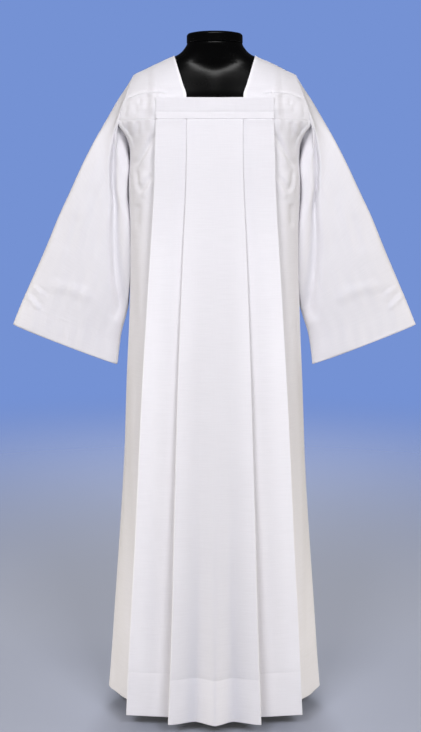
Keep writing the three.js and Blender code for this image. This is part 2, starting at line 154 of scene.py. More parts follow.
def gridObject(name, points, material, closed=False, uv=None, plyAndShade=None, flip=False):
    # a sheet of quads through points[row, column], with a UV map in metres and a share that lightens the cloth:
    # doubled cloth, and painted light and shade
    rows, columns = points.shape[:2]
    j, i = np.meshgrid(np.arange(rows - 1), np.arange(columns if closed else columns - 1), indexing="ij")
    around = [(0, 0), (0, 1), (1, 1), (1, 0)]  # row and column steps from corner to corner of a quad
    quads = np.stack([(j + down) * columns + (i + on) % columns for down, on in around], -1)
    uvQuads = np.stack([np.stack([j + down, i + on], -1) for down, on in around], -2)
    if flip:
        quads, uvQuads = quads[..., ::-1], uvQuads[..., ::-1, :]
    quads = quads.reshape(-1, 4)
    mesh = bpy.data.meshes.new(name)
    mesh.vertices.add(rows * columns)
    mesh.vertices.foreach_set("co", (points * mm).reshape(-1).astype(np.float32))
    mesh.loops.add(quads.size)
    mesh.loops.foreach_set("vertex_index", quads.reshape(-1).astype(np.int32))
    mesh.polygons.add(len(quads))
    mesh.polygons.foreach_set("loop_start", np.arange(0, quads.size, 4, dtype=np.int32))
    mesh.polygons.foreach_set("use_smooth", np.ones(len(quads), bool))
    mesh.update(calc_edges=True)
    if uv is not None:
        layer = mesh.uv_layers.new(name="cloth")
        corners = uvQuads.reshape(-1, 2)
        layer.data.foreach_set("uv", (uv[corners[:, 0], corners[:, 1]] * mm).reshape(-1).astype(np.float32))
    if plyAndShade is not None:
        shares = mesh.attributes.new("plyAndShade", "FLOAT", "POINT")
        shares.data.foreach_set("value", np.broadcast_to(plyAndShade, (rows, columns)).reshape(-1).astype(np.float32))
    mesh.validate()
    mesh.materials.append(material)
    return sceneObject(name, mesh)


def thicken(piece, thickness):
    # the wall grows inwards, so the sheet stays the outer face
    wall = piece.modifiers.new("wall", "SOLIDIFY")
    wall.thickness = thickness * mm
    wall.offset = -1
    wall.use_even_offset = False


def finishPiece(piece, slot, *nodes):
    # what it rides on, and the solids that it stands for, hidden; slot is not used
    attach(piece, "root")
    if nodes:
        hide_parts(*nodes)


# depth and width of each sunk seam line, in millimetres
seams = {
    "side": (0.9, 1.6), "yoke": (0.3, 1.2), "hem": (0.35, 1.6), "armhole": (0.3, 1.6), "sleeveTop": (0.35, 2.0),
    "cuff": (0.4, 1.6), "bandStitch": (0.45, 1.5), "backStitch": (0.5, 1.5), "backYoke": (0.8, 1.8),
}


# materials

linenLook = {
    "white": (0.918, 0.904, 0.932, 1), "thread": (0.878, 0.864, 0.892, 1), "threadUpTo": 0.3, "whiteFrom": 0.62,
    # this darker colour also stands for painted shade, where the share that lightens the cloth is low
    "singleAndShaded": (0.83, 0.83, 0.832, 1),  # one layer lets light through, so it shows darker than two
    "threads": 1250,  # to the metre, each way
    "slubLength": 20, "slubs": 480, "slubDetail": (3, 0.6), "mottle": 9, "mottleDetail": (2, 0.5),
    "weftShare": 0.7, "mottleShare": 0.25, "weaveShare": 0.18, "bump": 0.2, "bumpHeight": 0.0012,
    "shader": {"Roughness": 0.88, "Sheen Weight": 0.12, "Sheen Roughness": 0.5, "Specular IOR Level": 0.25},
}
blackest = 0.85  # the darkest mottle of a plain finish, as a share of its colour
finishes = {
    "sewingThread": {"color": (0.84, 0.838, 0.86), "roughness": 0.7, "grain": 0.05, "grainScale": 900},
    "glossBlack": {"color": (0.0014, 0.0014, 0.0015), "roughness": 0.27, "grain": 0.03, "grainScale": 14,
                   "specular": 0.36},
    "satinBlack": {"color": (0.022, 0.022, 0.024), "roughness": 0.42, "grain": 0.06, "grainScale": 160,
                   "metallic": 0.2},
}


def socket(node, name, value):
    # one input of a node at a fixed value
    node.inputs[name].default_value = value


def newMaterial(name):
    # a node material with its nodes, links and shader
    material = bpy.data.materials.new(name)
    material.use_nodes = True
    tree = material.node_tree
    return material, tree.nodes, tree.links, tree.nodes["Principled BSDF"]


def clothMaterial(look):
    # colour ramp over slubs and mottle, multiplied darker where the cloth is single and where shade is painted; height
    # = slubs + weave, weave = sin(u) sin(v)
    material, nodes, links, shader = newMaterial("linenWhite")
    for name, value in look["shader"].items():
        socket(shader, name, value)
    place = nodes.new("ShaderNodeTexCoord")
    apart = nodes.new("ShaderNodeSeparateXYZ")
    links.new(place.outputs["UV"], apart.inputs[0])

    def noiseOf(scaleU, scaleV, detail, roughness):
        # noise stretched along the cloth's two directions
        stretch = nodes.new("ShaderNodeMapping")
        socket(stretch, "Scale", (scaleU, scaleV, 1))
        noise = nodes.new("ShaderNodeTexNoise")
        noise.noise_dimensions = "2D"
        socket(noise, "Scale", 1.0)
        socket(noise, "Detail", detail)
        socket(noise, "Roughness", roughness)
        links.new(place.outputs["UV"], stretch.inputs[0])
        links.new(stretch.outputs[0], noise.inputs["Vector"])
        return noise.outputs[0]

    def worked(kind, *values):
        # a math node fed by numbers or by other nodes
        step = nodes.new("ShaderNodeMath")
        step.operation = kind
        for k, value in enumerate(values):
            if isinstance(value, (int, float)):
                step.inputs[k].default_value = value
            else:
                links.new(value, step.inputs[k])
        return step.outputs[0]

    def blended(a, b, share):
        # share * a + (1 - share) * b
        return worked("ADD", worked("MULTIPLY", a, share), worked("MULTIPLY", b, 1 - share))

    weft = noiseOf(look["slubLength"], look["slubs"], *look["slubDetail"])
    warp = noiseOf(look["slubs"], look["slubLength"], *look["slubDetail"])
    mottle = noiseOf(look["mottle"], look["mottle"], *look["mottleDetail"])
    turns = look["threads"] * 2 * math.pi
    weave = worked("MULTIPLY", *[worked("SINE", worked("MULTIPLY", apart.outputs[axis], turns)) for axis in (0, 1)])
    slubs = blended(weft, warp, look["weftShare"])
    ramped = nodes.new("ShaderNodeValToRGB")
    low, high = ramped.color_ramp.elements
    low.position, low.color = look["threadUpTo"], look["thread"]
    high.position, high.color = look["whiteFrom"], look["white"]
    links.new(blended(mottle, slubs, look["mottleShare"]), ramped.inputs[0])
    lighterShare = nodes.new("ShaderNodeAttribute")
    lighterShare.attribute_name = "plyAndShade"
    darker = nodes.new("ShaderNodeMix")
    darker.data_type = "RGBA"
    darker.blend_type = "MULTIPLY"
    links.new(worked("SUBTRACT", 1.0, lighterShare.outputs["Fac"]), darker.inputs[0])
    links.new(ramped.outputs[0], darker.inputs[6])
    darker.inputs[7].default_value = look["singleAndShaded"]
    links.new(darker.outputs[2], shader.inputs["Base Color"])
    bump = nodes.new("ShaderNodeBump")
    socket(bump, "Strength", look["bump"])
    socket(bump, "Distance", look["bumpHeight"])
    links.new(worked("ADD", slubs, worked("MULTIPLY", weave, look["weaveShare"])), bump.inputs["Height"])
    links.new(bump.outputs[0], shader.inputs["Normal"])
    return material


def plainMaterial(name, color, roughness, grain, grainScale, metallic=0.0, specular=0.5):
    # a solid finish whose roughness wanders by the grain either way, as on moulded plastic or sprayed paint
    material, nodes, links, shader = newMaterial(name)
    socket(shader, "Metallic", metallic)
    socket(shader, "Specular IOR Level", specular)
    place = nodes.new("ShaderNodeTexCoord")
    noise = nodes.new("ShaderNodeTexNoise")
    socket(noise, "Scale", grainScale)
    socket(noise, "Detail", 4.0)
    links.new(place.outputs["Object"], noise.inputs["Vector"])
    spread = nodes.new("ShaderNodeMapRange")
    socket(spread, "To Min", roughness - grain)
    socket(spread, "To Max", roughness + grain)
    links.new(noise.outputs[0], spread.inputs["Value"])
    links.new(spread.outputs[0], shader.inputs["Roughness"])
    tone = nodes.new("ShaderNodeValToRGB")
    tone.color_ramp.elements[0].color = (*[part * blackest for part in color], 1)
    tone.color_ramp.elements[1].color = (*color, 1)
    links.new(noise.outputs[0], tone.inputs[0])
    links.new(tone.outputs[0], shader.inputs["Base Color"])
    return material


linen = clothMaterial(linenLook)
thread, glossBlack, satinBlack = [plainMaterial(name, **finish) for name, finish in finishes.items()]
print("materials made")


# body: front and back

body = {
    "hem": 30, "waist": 1000, "underarm": 1190, "yokeSeam": 1321.5, "seamGap": 0.35, "hemDepth": 100,
    "outer": 0.4, "outerTop": 0.25, "outerFrom": (1300, -300),  # the cloth's outer face, from the middle of its wall
    "thickness": 0.7, "panelTuck": 32, "pleatTuck": 35, "fluteAt": 0.41, "fluteRound": 0.55, "armholeCorner": 0.625,
    "bandHalf": 122.5, "bandDepth": 129.3,  # half the front yoke's width, and how far forward the cloth is behind it
    "flareOut": 18, "flareHeight": 1322, "flareTall": 28, "flareDepth": 66, "flareDeep": 38,
    "pullOut": 17, "pullHeight": 1298, "pullTall": 40, "pullFrom": 0.6, "calmSide": 25, "calmTop": 4,
    "rowsLow": 58, "rowsHigh": 78, "edgeRow": 1.5, "hemRows": (-2.5, -1.2, 0, 1.2, 2.5), "seamRow": 0.35,
}
hemLine = body["hem"] + body["hemDepth"]
# the folded profile of the right half by height: x and depth of its folds, and its shape round the side
bodySections = {
    "z": [30, 130, 263, 395, 525, 739, 949, 1074, 1190, 1260, 1321.5],
    "centre": [212.4, 205.6, 196.7, 187.9, 179.2, 165.3, 153.4, 147.2, 140.8, 136.8, 132.6],
    "flute": [21.7, 17, 11, 7, 4, 1.5, 0, 0, 0, 0, 0],
    "panelX": [101.6, 97.1, 91.9, 88.4, 85.2, 78.6, 70.4, 64.7, 59.2, 57.8, 57.6],
    "panel": [205.7, 200.1, 192.7, 185.4, 178.2, 166.3, 154.6, 147.7, 140.8, 136.8, 132.6],
    "turn": [173, 171, 168, 165, 161.5, 155.5, 148.5, 143.5, 138, 134.7, 131.1],
    "pleatX": [195.1, 190.3, 182.6, 174, 166.8, 155.4, 142, 133, 126, 124, 121.4],
    "pleat": [158, 156, 153.4, 150.6, 147.6, 143.2, 138.8, 136.2, 133.6, 131.8, 129.6],
    "tuck": [141, 140, 139, 137.5, 136, 133, 131, 130.2, 129.3, 128.7, 128.1],
    "side": [246.5, 238, 227.5, 217, 207.5, 195.5, 187.5, 187, 189.5, 184, 200],
    "round": [1.1, 1.2, 1.35, 1.55, 1.7, 1.9, 2, 2.1, 2.2, 2.25, 2.3],
    "pitch": [3.6, 3.5, 3.3, 3, 2.6, 2.2, 1.7, 1.35, 0.95, 0.8, 0.75],
}
# columns of the right half: which run of the folded cloth, and where along it
bodyRuns = [("panel", 24), ("panelEdge", 7), ("panelBack", 6), ("panelTurn", 6), ("pleat", 26), ("pleatEdge", 7),
            ("pleatBack", 6), ("pleatTurn", 6), ("side", 64)]


def flareAt(depth, z):
    # out * bell(z - height) * bell(depth): the sleeve's weight draws the armhole corner outwards
    return (body["flareOut"] * bell(z - body["flareHeight"], body["flareTall"])
            * bell(depth - body["flareDepth"], body["flareDeep"]))


def sidePoint(s, turn, z):
    # x = start + (side - start) sin(a)^(2/round), depth = tuck cos(a)^(2/round), a from 0 to a right angle
    angle = turn * math.pi / 2
    start = s["pleatX"] - body["pleatTuck"]
    x = start + (s["side"] - start) * np.sin(angle) ** (2 / s["round"])
    depth = (s["tuck"] - s["pitch"]) * np.maximum(np.cos(angle), 0) ** (2 / s["round"])
    depth = np.maximum(depth, body["seamGap"] / 2)
    # the sleeve's fold also pulls the armhole's front forward, most about half way round
    along = np.clip((turn - body["pullFrom"]) / (1 - body["pullFrom"]), 0, 1)
    pull = body["pullOut"] * np.sin(math.pi * along) * bell(z - body["pullHeight"], body["pullTall"])
    return x + flareAt(depth, z), depth + pull


def edgeHeight(turn):
    # height of the body's upper edge: the yoke seam, then an ellipse down the armhole to the side seam
    past = np.maximum(0, (turn - body["armholeCorner"]) / (1 - body["armholeCorner"]))
    top = body["yokeSeam"] - body["seamGap"] / 2
    return body["underarm"] + (top - body["underarm"]) * np.sqrt(np.maximum(0, 1 - past * past))


def halfBody(run, t, z):
    # one run of the folded half profile at height z: returns x and depth, both arrays over the grid
    s = tableAt(bodySections, "z", z)
    r = s["pitch"] / 2
    theta = t * math.pi
    inner1, inner2 = s["panelX"] - body["panelTuck"] + r, s["pleatX"] - body["pleatTuck"] + r
    if run == "panel":
        rise = np.where(t < body["fluteAt"], t / body["fluteAt"], (1 - t) / (1 - body["fluteAt"]))
        hollow = s["flute"] * mix(rise, smooth(rise), body["fluteRound"])
        return (s["panelX"] - r) * t, mix(s["centre"], s["panel"], t * t) - hollow
    if run == "panelEdge":
        return s["panelX"] - r + r * np.sin(theta), s["panel"] - r + r * np.cos(theta)
    if run == "panelBack":
        return mix(s["panelX"] - r, inner1, t), mix(s["panel"] - 2 * r, s["turn"], t)
    if run == "panelTurn":
        return inner1 - r * np.sin(theta), s["turn"] - r + r * np.cos(theta)
    if run == "pleat":
        return mix(inner1, s["pleatX"] - r, t), mix(s["turn"] - 2 * r, s["pleat"], t)
    if run == "pleatEdge":
        return s["pleatX"] - r + r * np.sin(theta), s["pleat"] - r + r * np.cos(theta)
    if run == "pleatBack":
        return mix(s["pleatX"] - r, inner2, t), mix(s["pleat"] - 2 * r, s["tuck"], t)
    if run == "pleatTurn":
        return inner2 - r * np.sin(theta), s["tuck"] - r + r * np.cos(theta)
    x, depth = sidePoint(s, t, z)
    return x + r * (1 - t) ** 8, depth


# soft creases under the yoke, each a bent line in front view: x from the middle and height
sideCreases = [
    {"line": [(126, 1296), (143, 1256), (171, 1219)], "width": 4, "depth": -3.8},
    {"line": [(133, 1300), (151, 1262), (172, 1234)], "width": 7, "depth": 2.2},
    {"line": [(124, 1272), (136, 1248), (158, 1222)], "width": 8, "depth": 1.9},
    {"line": [(131, 1212), (148, 1184), (159, 1168)], "width": 4.8, "depth": -2.8},
    {"line": [(127, 1200), (142, 1176), (154, 1158)], "width": 7, "depth": 2.0},
    {"line": [(167, 1224), (163, 1194), (158.5, 1169)], "width": 4.8, "depth": -2.7},
    {"line": [(173, 1228), (170, 1196), (166, 1166)], "width": 6, "depth": 1.9},
    {"line": [(147, 1215), (153, 1198), (157, 1186)], "width": 7, "depth": 1.8},
    {"line": [(162, 1152), (166, 1126), (164, 1094)], "width": 7, "depth": -3.2},
    {"line": [(176, 1292), (168, 1262), (172, 1236)], "width": 6, "depth": 2.0},
    {"line": [(158, 1317), (163, 1304), (160, 1284)], "width": 4.5, "depth": -2.0, "fadeIn": 0.1},
    {"line": [(168, 1319), (173, 1306), (173, 1290)], "width": 4.5, "depth": 1.8, "fadeIn": 0.1},
    {"line": [(181, 1318), (184, 1306), (182, 1292)], "width": 4, "depth": -1.8, "fadeIn": 0.1},
    {"line": [(191, 1319), (191, 1309), (188, 1298)], "width": 4, "depth": 1.6, "fadeIn": 0.1},
]


# waves of the hanging cloth: (least, growth) in millimetres, and wave lengths across and down
drape = {
    "fall": 1290, "broad": (0.275, 1.1), "broadWaves": (150, 900), "narrow": (0.125, 0.35), "narrowWaves": (55, 500),
    "side": 2.2, "sideFrom": (1180, -300), "sideWaves": (70, 700), "frontSeed": 3, "backSeed": 29,
    "tuck": (5.0, 14), "tuckFrom": (1314, -40),  # hollow behind the outer pleat's edge
    "backShift": -9, "backShare": 0.7,  # the back's creases lie elsewhere and are softer
}
# how the cloth comes forward at the front yoke; pairs are (start, width) or (height, width)
atYoke = {
    "pleatRise": (59, 6), "pleatFall": (117, 4), "sewn": (1.5, 9), "eased": (0.9, 60),
    "sideRise": (114, 9), "sideFall": (122.5, 24), "sideTall": 26,
    "trough": 2.3, "troughRise": (117.5, 4), "troughFall": (125, 22),
    "seamLift": (0.3, 0.8),
}
# share that lightens the cloth: doubled cloth at the turned hem and partly along the pleat and panel edges, painted
# light and shade across the pleats, the panel and the sides, and the front darker from the waist up; mixes from and
# to, and pairs of (start, width)
doublingAndShade = {
    "hemEdge": (1.5, -3), "hemFold": (81.5, -3), "hemFoldLess": 0.22, "hemPlain": (0.45, 0.4), "hemSide": 0.5,
    "lower": (1150, -350), "pleatEdge": (14, 44), "pleatLess": (0.15, 0.55),
    "panelEdge": (0, 45), "panelLeast": 0.04, "panelMore": (0.15, 0.5),
    "pleatInner": (62, 20), "pleatInnerLess": 0.8, "pleatTop": (1260, -500), "pleatTopLeast": 0.15,
    "sideLow": (0.6, 0.05), "sideFrom": (150, 500), "least": 0.15, "chest": (1050, 170), "chestLess": 0.7,
}


def bodyRelief(x, z, arc, isFront, runName):
    # waves along the normal that grow downwards, and on the side panel its hollow, creases and own waves
    seed = drape["frontSeed"] if isFront else drape["backSeed"]
    fall = np.clip((body["yokeSeam"] - z) / drape["fall"], 0, 1)
    relief = (drape["broad"][0] + drape["broad"][1] * fall) * softNoise(arc, z, *drape["broadWaves"], seed)
    relief += (drape["narrow"][0] + drape["narrow"][1] * fall) * softNoise(arc, z, *drape["narrowWaves"], seed + 1)
    if runName == "side":
        shift, share = (0, 1) if isFront else (drape["backShift"], drape["backShare"])
        beside = np.interp(z, bodySections["z"], bodySections["pleatX"])
        relief -= swell(np.abs(x) - beside, drape["tuck"]) * ramp(z, *drape["tuckFrom"])
        relief += share * creaseField(np.abs(x) + shift, z - 2 * shift, sideCreases)
        relief += drape["side"] * ramp(z, *drape["sideFrom"]) * softNoise(arc, z, *drape["sideWaves"], seed + 2)
    return relief


def besideBand(x):
    # trough beside the yoke's ends: depth * step up * slow step down, by distance from the middle
    return atYoke["trough"] * between(x, atYoke["troughRise"], atYoke["troughFall"])


def bodyPlyAndShade(x, z, onSide, onPleat):
    # share that lightens the cloth: the turned hem is doubled; pleats lighter at their outer edges and the panel at
    # its edges, partly for the layers folded behind and partly as painted light; painted shadow on each pleat beside
    # the centre panel; painted shade darker up the pleats and the side panels; the front darker from the waist up
    d = doublingAndShade
    hem = ramp(z, hemLine + d["hemEdge"][0], d["hemEdge"][1]) * (1 - d["hemFoldLess"] * ramp(z, *d["hemFold"]))
    edges = tableAt(bodySections, "z", z)
    fromEdge = np.where(onPleat, edges["pleatX"], edges["panelX"]) - np.abs(x)
    lower = ramp(z, *d["lower"])
    # painted shade with doubled cloth: each pleat darker from its outer edge towards the centre panel, more so lower
    # down
    pleat = 1 - mix(*d["pleatLess"], lower) * ramp(fromEdge, *d["pleatEdge"])
    # doubled cloth with painted light: the panel lighter near its edges, more so lower down
    panel = d["panelLeast"] + mix(*d["panelMore"], lower) * (1 - ramp(fromEdge, *d["panelEdge"]))
    plain = np.where(onPleat, pleat, panel)
    front = mix(plain, d["hemPlain"][0] + d["hemPlain"][1] * plain, hem)
    # painted shadow on the pleat where it runs under the centre panel's edge, lower down
    behind = 1 - d["pleatInnerLess"] * lower * ramp(fromEdge, *d["pleatInner"])
    # painted shade: the pleats darker towards the top
    behind = behind * mix(d["pleatTopLeast"], 1, ramp(z, *d["pleatTop"]))
    # the whole front darker from the waist up
    front = mix(d["least"], 1, front * np.where(onPleat, behind, 1)) * (1 - d["chestLess"] * ramp(z, *d["chest"]))
    # painted shade: the side panels darker going up from the hem to about 650 mm; doubled at the turned hem
    return np.where(onSide, mix(mix(*d["sideLow"], ramp(z, *d["sideFrom"])), d["hemSide"], hem), front)


def bothHalves(grid, sign=1):
    # the half profile and its mirror image, without a second middle column
    return np.concatenate([sign * grid[:, :0:-1], grid], axis=1)


def bodyGrid(isFront):
    # the folded profile at every height, moved out along its normal by half its wall and the relief
    runs, shares = [], []
    for name, count in bodyRuns:
        runs += [name] * count
        shares += list(np.linspace(0, 1, count, endpoint=name == "side"))
    runs, shares = np.array(runs), np.array(shares)
    half = len(runs)
    top = edgeHeight(np.where(runs == "side", shares, 0))
    # even rows up to the waist with close ones at the hem, then rows that fan out to the upper edge
    low = np.concatenate([np.linspace(body["hem"], body["waist"], body["rowsLow"], endpoint=False),
                          [body["hem"] + body["edgeRow"]], hemLine + np.array(body["hemRows"])])
    low = np.unique(low)
    share = np.linspace(0, 1, body["rowsHigh"])
    share = np.concatenate([share[:-1], [1 - body["seamRow"] / body["rowsHigh"], 1]])  # one more row right at the seam
    z = np.concatenate([np.broadcast_to(low[:, None], (len(low), half)),
                        body["waist"] + (top[None, :] - body["waist"]) * share[:, None]])
    x, depth = np.zeros(z.shape), np.zeros(z.shape)
    for name, _ in bodyRuns:
        at = runs == name
        x[:, at], depth[:, at] = halfBody(name, shares[None, at], z[:, at])
    x, depth, z = bothHalves(x, -1), bothHalves(depth), bothHalves(z)
    names = np.concatenate([runs[:0:-1], runs])
    onSide, onPleat = names == "side", np.char.startswith(names, "pleat")
    middle = np.stack([x, -depth, z], -1)
    arc = arcLength(middle)
    arc = arc - arc[:, half - 1: half]
    relief = np.zeros(z.shape)
    for name, _ in bodyRuns:
        at = names == name
        relief[:, at] = bodyRelief(x[:, at], z[:, at], arc[:, at], isFront, name)
    fromSide = np.minimum(arc - arc[:, :1], arc[:, -1:] - arc)
    fromTop = bothHalves(top[None, :]) - z
    relief *= smooth(fromSide / body["calmSide"]) * smooth(fromTop / body["calmTop"])
    relief -= swell(fromSide, seams["side"]) + swell(fromTop, seams["yoke"]) + swell(z - hemLine, seams["hem"])
    # the pleats are sewn flat to the yoke, so they come forward there
    across = np.abs(x)
    onFace = (names == "pleat") * between(across, atYoke["pleatRise"], atYoke["pleatFall"])
    relief += onFace * (swell(fromTop, atYoke["sewn"]) + swell(fromTop, atYoke["eased"]))
    # beside the yoke the side panel comes forward to the shoulder's seam
    reach = onSide * between(across, atYoke["sideRise"], atYoke["sideFall"])
    relief += reach * (body["bandDepth"] - besideBand(across) - depth) * bell(fromTop, atYoke["sideTall"])
    normal = gridNormals(middle)
    outer = mix(body["outerTop"], body["outer"], ramp(z, *body["outerFrom"]))
    points = middle + normal * (outer + relief)[..., None]
    points[..., 2] += swell(fromTop, atYoke["seamLift"])  # the seam closes
    points[..., 1] = np.minimum(points[..., 1], -body["seamGap"] / 2)
    return points, normal, np.stack([arc, z], -1), bodyPlyAndShade(x, z, onSide, onPleat)


def bodyPiece(name, isFront, node):
    # the back is the front's grid turned round to the other side
    points, normal, uv, plyAndShade = bodyGrid(isFront)
    if not isFront:
        points, normal = points * [1, -1, 1], normal * [1, -1, 1]
    piece = gridObject(name, points, linen, uv=uv, plyAndShade=plyAndShade, flip=not isFront)
    thicken(piece, body["thickness"])
    finishPiece(piece, "cloth", node)
    return piece, points, normal


frontBody, frontPoints, frontNormals = bodyPiece("alb_front", True, "front_body")
backBody, backPoints, backNormals = bodyPiece("alb_back", False, "back_body")
print("body made:", len(frontBody.data.polygons), "faces each side")


# shoulders: from the front yoke seam over the ridge to the back yoke seam

shoulder = {
    "ridge": 1460, "slope": 0.452, "step": 24, "rows": 170, "columns": 76, "outer": 0.35, "thickness": 0.7,
    "armScale": 110, "neckScale": 100,  # rough widths that turn shares across the piece into millimetres
    "wave": 0.35, "waves": (45, 120), "seed": 11, "backShare": 0.6, "troughTall": 14, "seamRows": [0.996, 0.9985],
    "calmSeam": 5, "calmArm": 10, "calmNeck": 12, "offRidge": (20, 40),  # where waves and creases die out
    # the cloth rises behind the yoke's upper edge and beside its ends; pairs are (start, width)
    "behind": 3.2, "behindRise": (1349, 14), "behindFall": (1368, 24), "behindEnd": (114, 7),
    "beside": 1.3, "besideAt": 124, "besideWide": (3, 12), "besideRise": (5, 16), "besideFall": (40, 22),
    "plyAndShade": (0.12, 0.6), "plyFrom": (4.5, -2),  # doubled cloth only along the neckline
}
# the way down from the ridge in even steps: share of the depth and of the drop, and where both edges are
shoulderPath = {
    "step": [0, 1, 2, 3, 4, 5, 6, 7, 8],
    "out": [0, 0.12, 0.3, 0.5, 0.69, 0.85, 0.965, 1, 1],
    "drop": [0, 0.004, 0.05, 0.155, 0.3, 0.47, 0.66, 0.83, 1],
    "neckX": [87.4, 87.2, 85.2, 80.8, 74.7, 67.5, 59.6, 59, 59],
    "armX": [173.2, 173.3, 174.5, 177, 181, 186.5, 193, 198, 200],
}
lastStep = shoulderPath["step"][-1]
neckTop, armTop = shoulderPath["neckX"][0], shoulderPath["armX"][0]
neckEnd, armEnd = shoulderPath["neckX"][-1], shoulderPath["armX"][-1]
seamSection = {name: column[-1] for name, column in bodySections.items()}
seamXs, seamDepths = sidePoint(seamSection, np.linspace(0, body["armholeCorner"], 60), body["yokeSeam"])
cornerX = float(seamXs[-1])


def seamDepth(x):
    # flat behind the band, then along the top of the side panel
    side = np.interp(x, seamXs, seamDepths)
    return mix(body["bandDepth"], side, ramp(x, body["bandHalf"], shoulder["step"]))


def shoulderPoint(across, fall):
    # across runs from the neckline to the armhole, fall from -1 at the front seam over 0 at the ridge to 1 behind
    path = tableAt(shoulderPath, "step", np.abs(fall) * lastStep)
    top = shoulder["ridge"] - shoulder["slope"] * (armTop - neckTop) * across
    seam = body["yokeSeam"] + body["seamGap"] / 2
    reach = (cornerX - neckEnd) / (armEnd - neckEnd)
    armX = neckEnd + (path["armX"] - neckEnd) * mix(1, reach, path["drop"])
    depth = seamDepth(mix(neckEnd, cornerX, across)) * path["out"]
    return np.stack([mix(path["neckX"], armX, across), np.sign(fall) * depth, mix(top, seam, path["drop"])], -1)


shoulderCreases = [
    # the arch over the chest, from the armhole up and down again to the neckline's corner
    {"line": [(186, 1366), (141, 1389), (93, 1370)], "width": 2.8, "depth": -2.9, "fadeIn": 0.15, "fadeOut": 0.3},
    {"line": [(184, 1360), (141, 1383), (90, 1364)], "width": 4, "depth": 2.7, "fadeIn": 0.15, "fadeOut": 0.3},
    {"line": [(158, 1390), (130, 1386), (94, 1371)], "width": 3.5, "depth": -1.1, "fadeIn": 0.4, "fadeOut": 0.2},
    {"line": [(156, 1368), (156, 1360), (156, 1348)], "width": 3.4, "depth": -1.1},
    {"line": [(165, 1356), (165, 1345), (164, 1332)], "width": 5, "depth": -1.1},
    {"line": [(147, 1362), (148, 1350), (147, 1334)], "width": 6, "depth": 0.7},
    {"line": [(175, 1360), (178, 1344), (181, 1325)], "width": 6, "depth": 1.2},
    {"line": [(184, 1350), (188, 1338), (190, 1325)], "width": 4, "depth": -1.0},
]


def shoulderPiece(name, node, side):
    # the sheet between neckline and armhole, with its creases, its sunk seams and its rise behind the yoke
    across = np.linspace(0, 1, shoulder["columns"])[None, :]
    fall = np.linspace(-1, 1, shoulder["rows"])
    close = np.array(shoulder["seamRows"])  # closer rows at the seams
    fall = np.unique(np.concatenate([fall, close, -close]))[:, None]
    across, fall = np.broadcast_arrays(across, fall)
    middle = shoulderPoint(across, fall)
    normal = gridNormals(middle)
    x, y, z = middle[..., 0], middle[..., 1], middle[..., 2]
    isFront = fall < 0
    relief = creaseField(x, z, shoulderCreases) * np.where(isFront, 1, shoulder["backShare"])
    relief *= ramp(np.abs(y), *shoulder["offRidge"])
    relief += shoulder["wave"] * softNoise(x, y + z, *shoulder["waves"], shoulder["seed"] + side)
    fromSeam = z - body["yokeSeam"]
    fromArm, fromNeck = (1 - across) * shoulder["armScale"], across * shoulder["neckScale"]
    relief *= (smooth(fromSeam / shoulder["calmSeam"]) * smooth(fromArm / shoulder["calmArm"])
               * smooth(fromNeck / shoulder["calmNeck"]))
    relief -= swell(fromSeam, seams["yoke"]) + swell(fromArm, seams["armhole"])
    relief -= besideBand(x) * bell(fromSeam, shoulder["troughTall"])
    nearBand = 1 - ramp(np.abs(x - shoulder["besideAt"]), *shoulder["besideWide"])
    relief += shoulder["beside"] * nearBand * between(fromSeam, shoulder["besideRise"], shoulder["besideFall"])
    behindBand = between(z, shoulder["behindRise"], shoulder["behindFall"]) * (1 - ramp(x, *shoulder["behindEnd"]))
    relief += shoulder["behind"] * behindBand * isFront
    points = middle + normal * (shoulder["outer"] + relief)[..., None]
    down = arcLength(np.swapaxes(middle, 0, 1)).T
    uv = np.stack([arcLength(middle), down], -1)
    if side < 0:
        points, normal = points * [-1, 1, 1], normal * [-1, 1, 1]
    plyAndShade = shoulder["plyAndShade"][0] + shoulder["plyAndShade"][1] * ramp(fromNeck, *shoulder["plyFrom"])
    piece = gridObject(name, points, linen, uv=uv, plyAndShade=plyAndShade, flip=side < 0)
    thicken(piece, shoulder["thickness"])
    finishPiece(piece, "cloth", node)
    return piece, points, normal


leftShoulder, leftShoulderPoints, leftShoulderNormals = shoulderPiece("alb_shoulder_left", "shoulder_left", 1)
rightShoulder, rightShoulderPoints, rightShoulderNormals = shoulderPiece("alb_shoulder_right", "shoulder_right", -1)
print("shoulders made")


# front yoke: a faced band, its profile carried across the chest

band = {
    "low": 1321.7, "top": 1366.5, "front": 132.9, "back": 130.5, "sag": 1.5, "facing": 26, "stitchLine": 1335.8,
    "foot": [(1.8, 0.0), (0.7, 0.05), (0.25, 0.3), (0.05, 0.8)], "faceFrom": 1.4,  # the lower edge: (back, up)
    "faceRows": 44, "facingRows": 10, "turnRows": 9, "columns": 150, "crowding": 0.98,
    "endWide": 2.6, "endGap": 0.3, "endLeast": 0.03, "plyAndShade": 0.22, "plyLow": (1, -2), "plyTop": (-3, 2),
    "waves": [(0.3, 60, 40, 5), (0.2, 18, 60, 6)], "calm": (6, 5),  # height, length across and up, seed
}


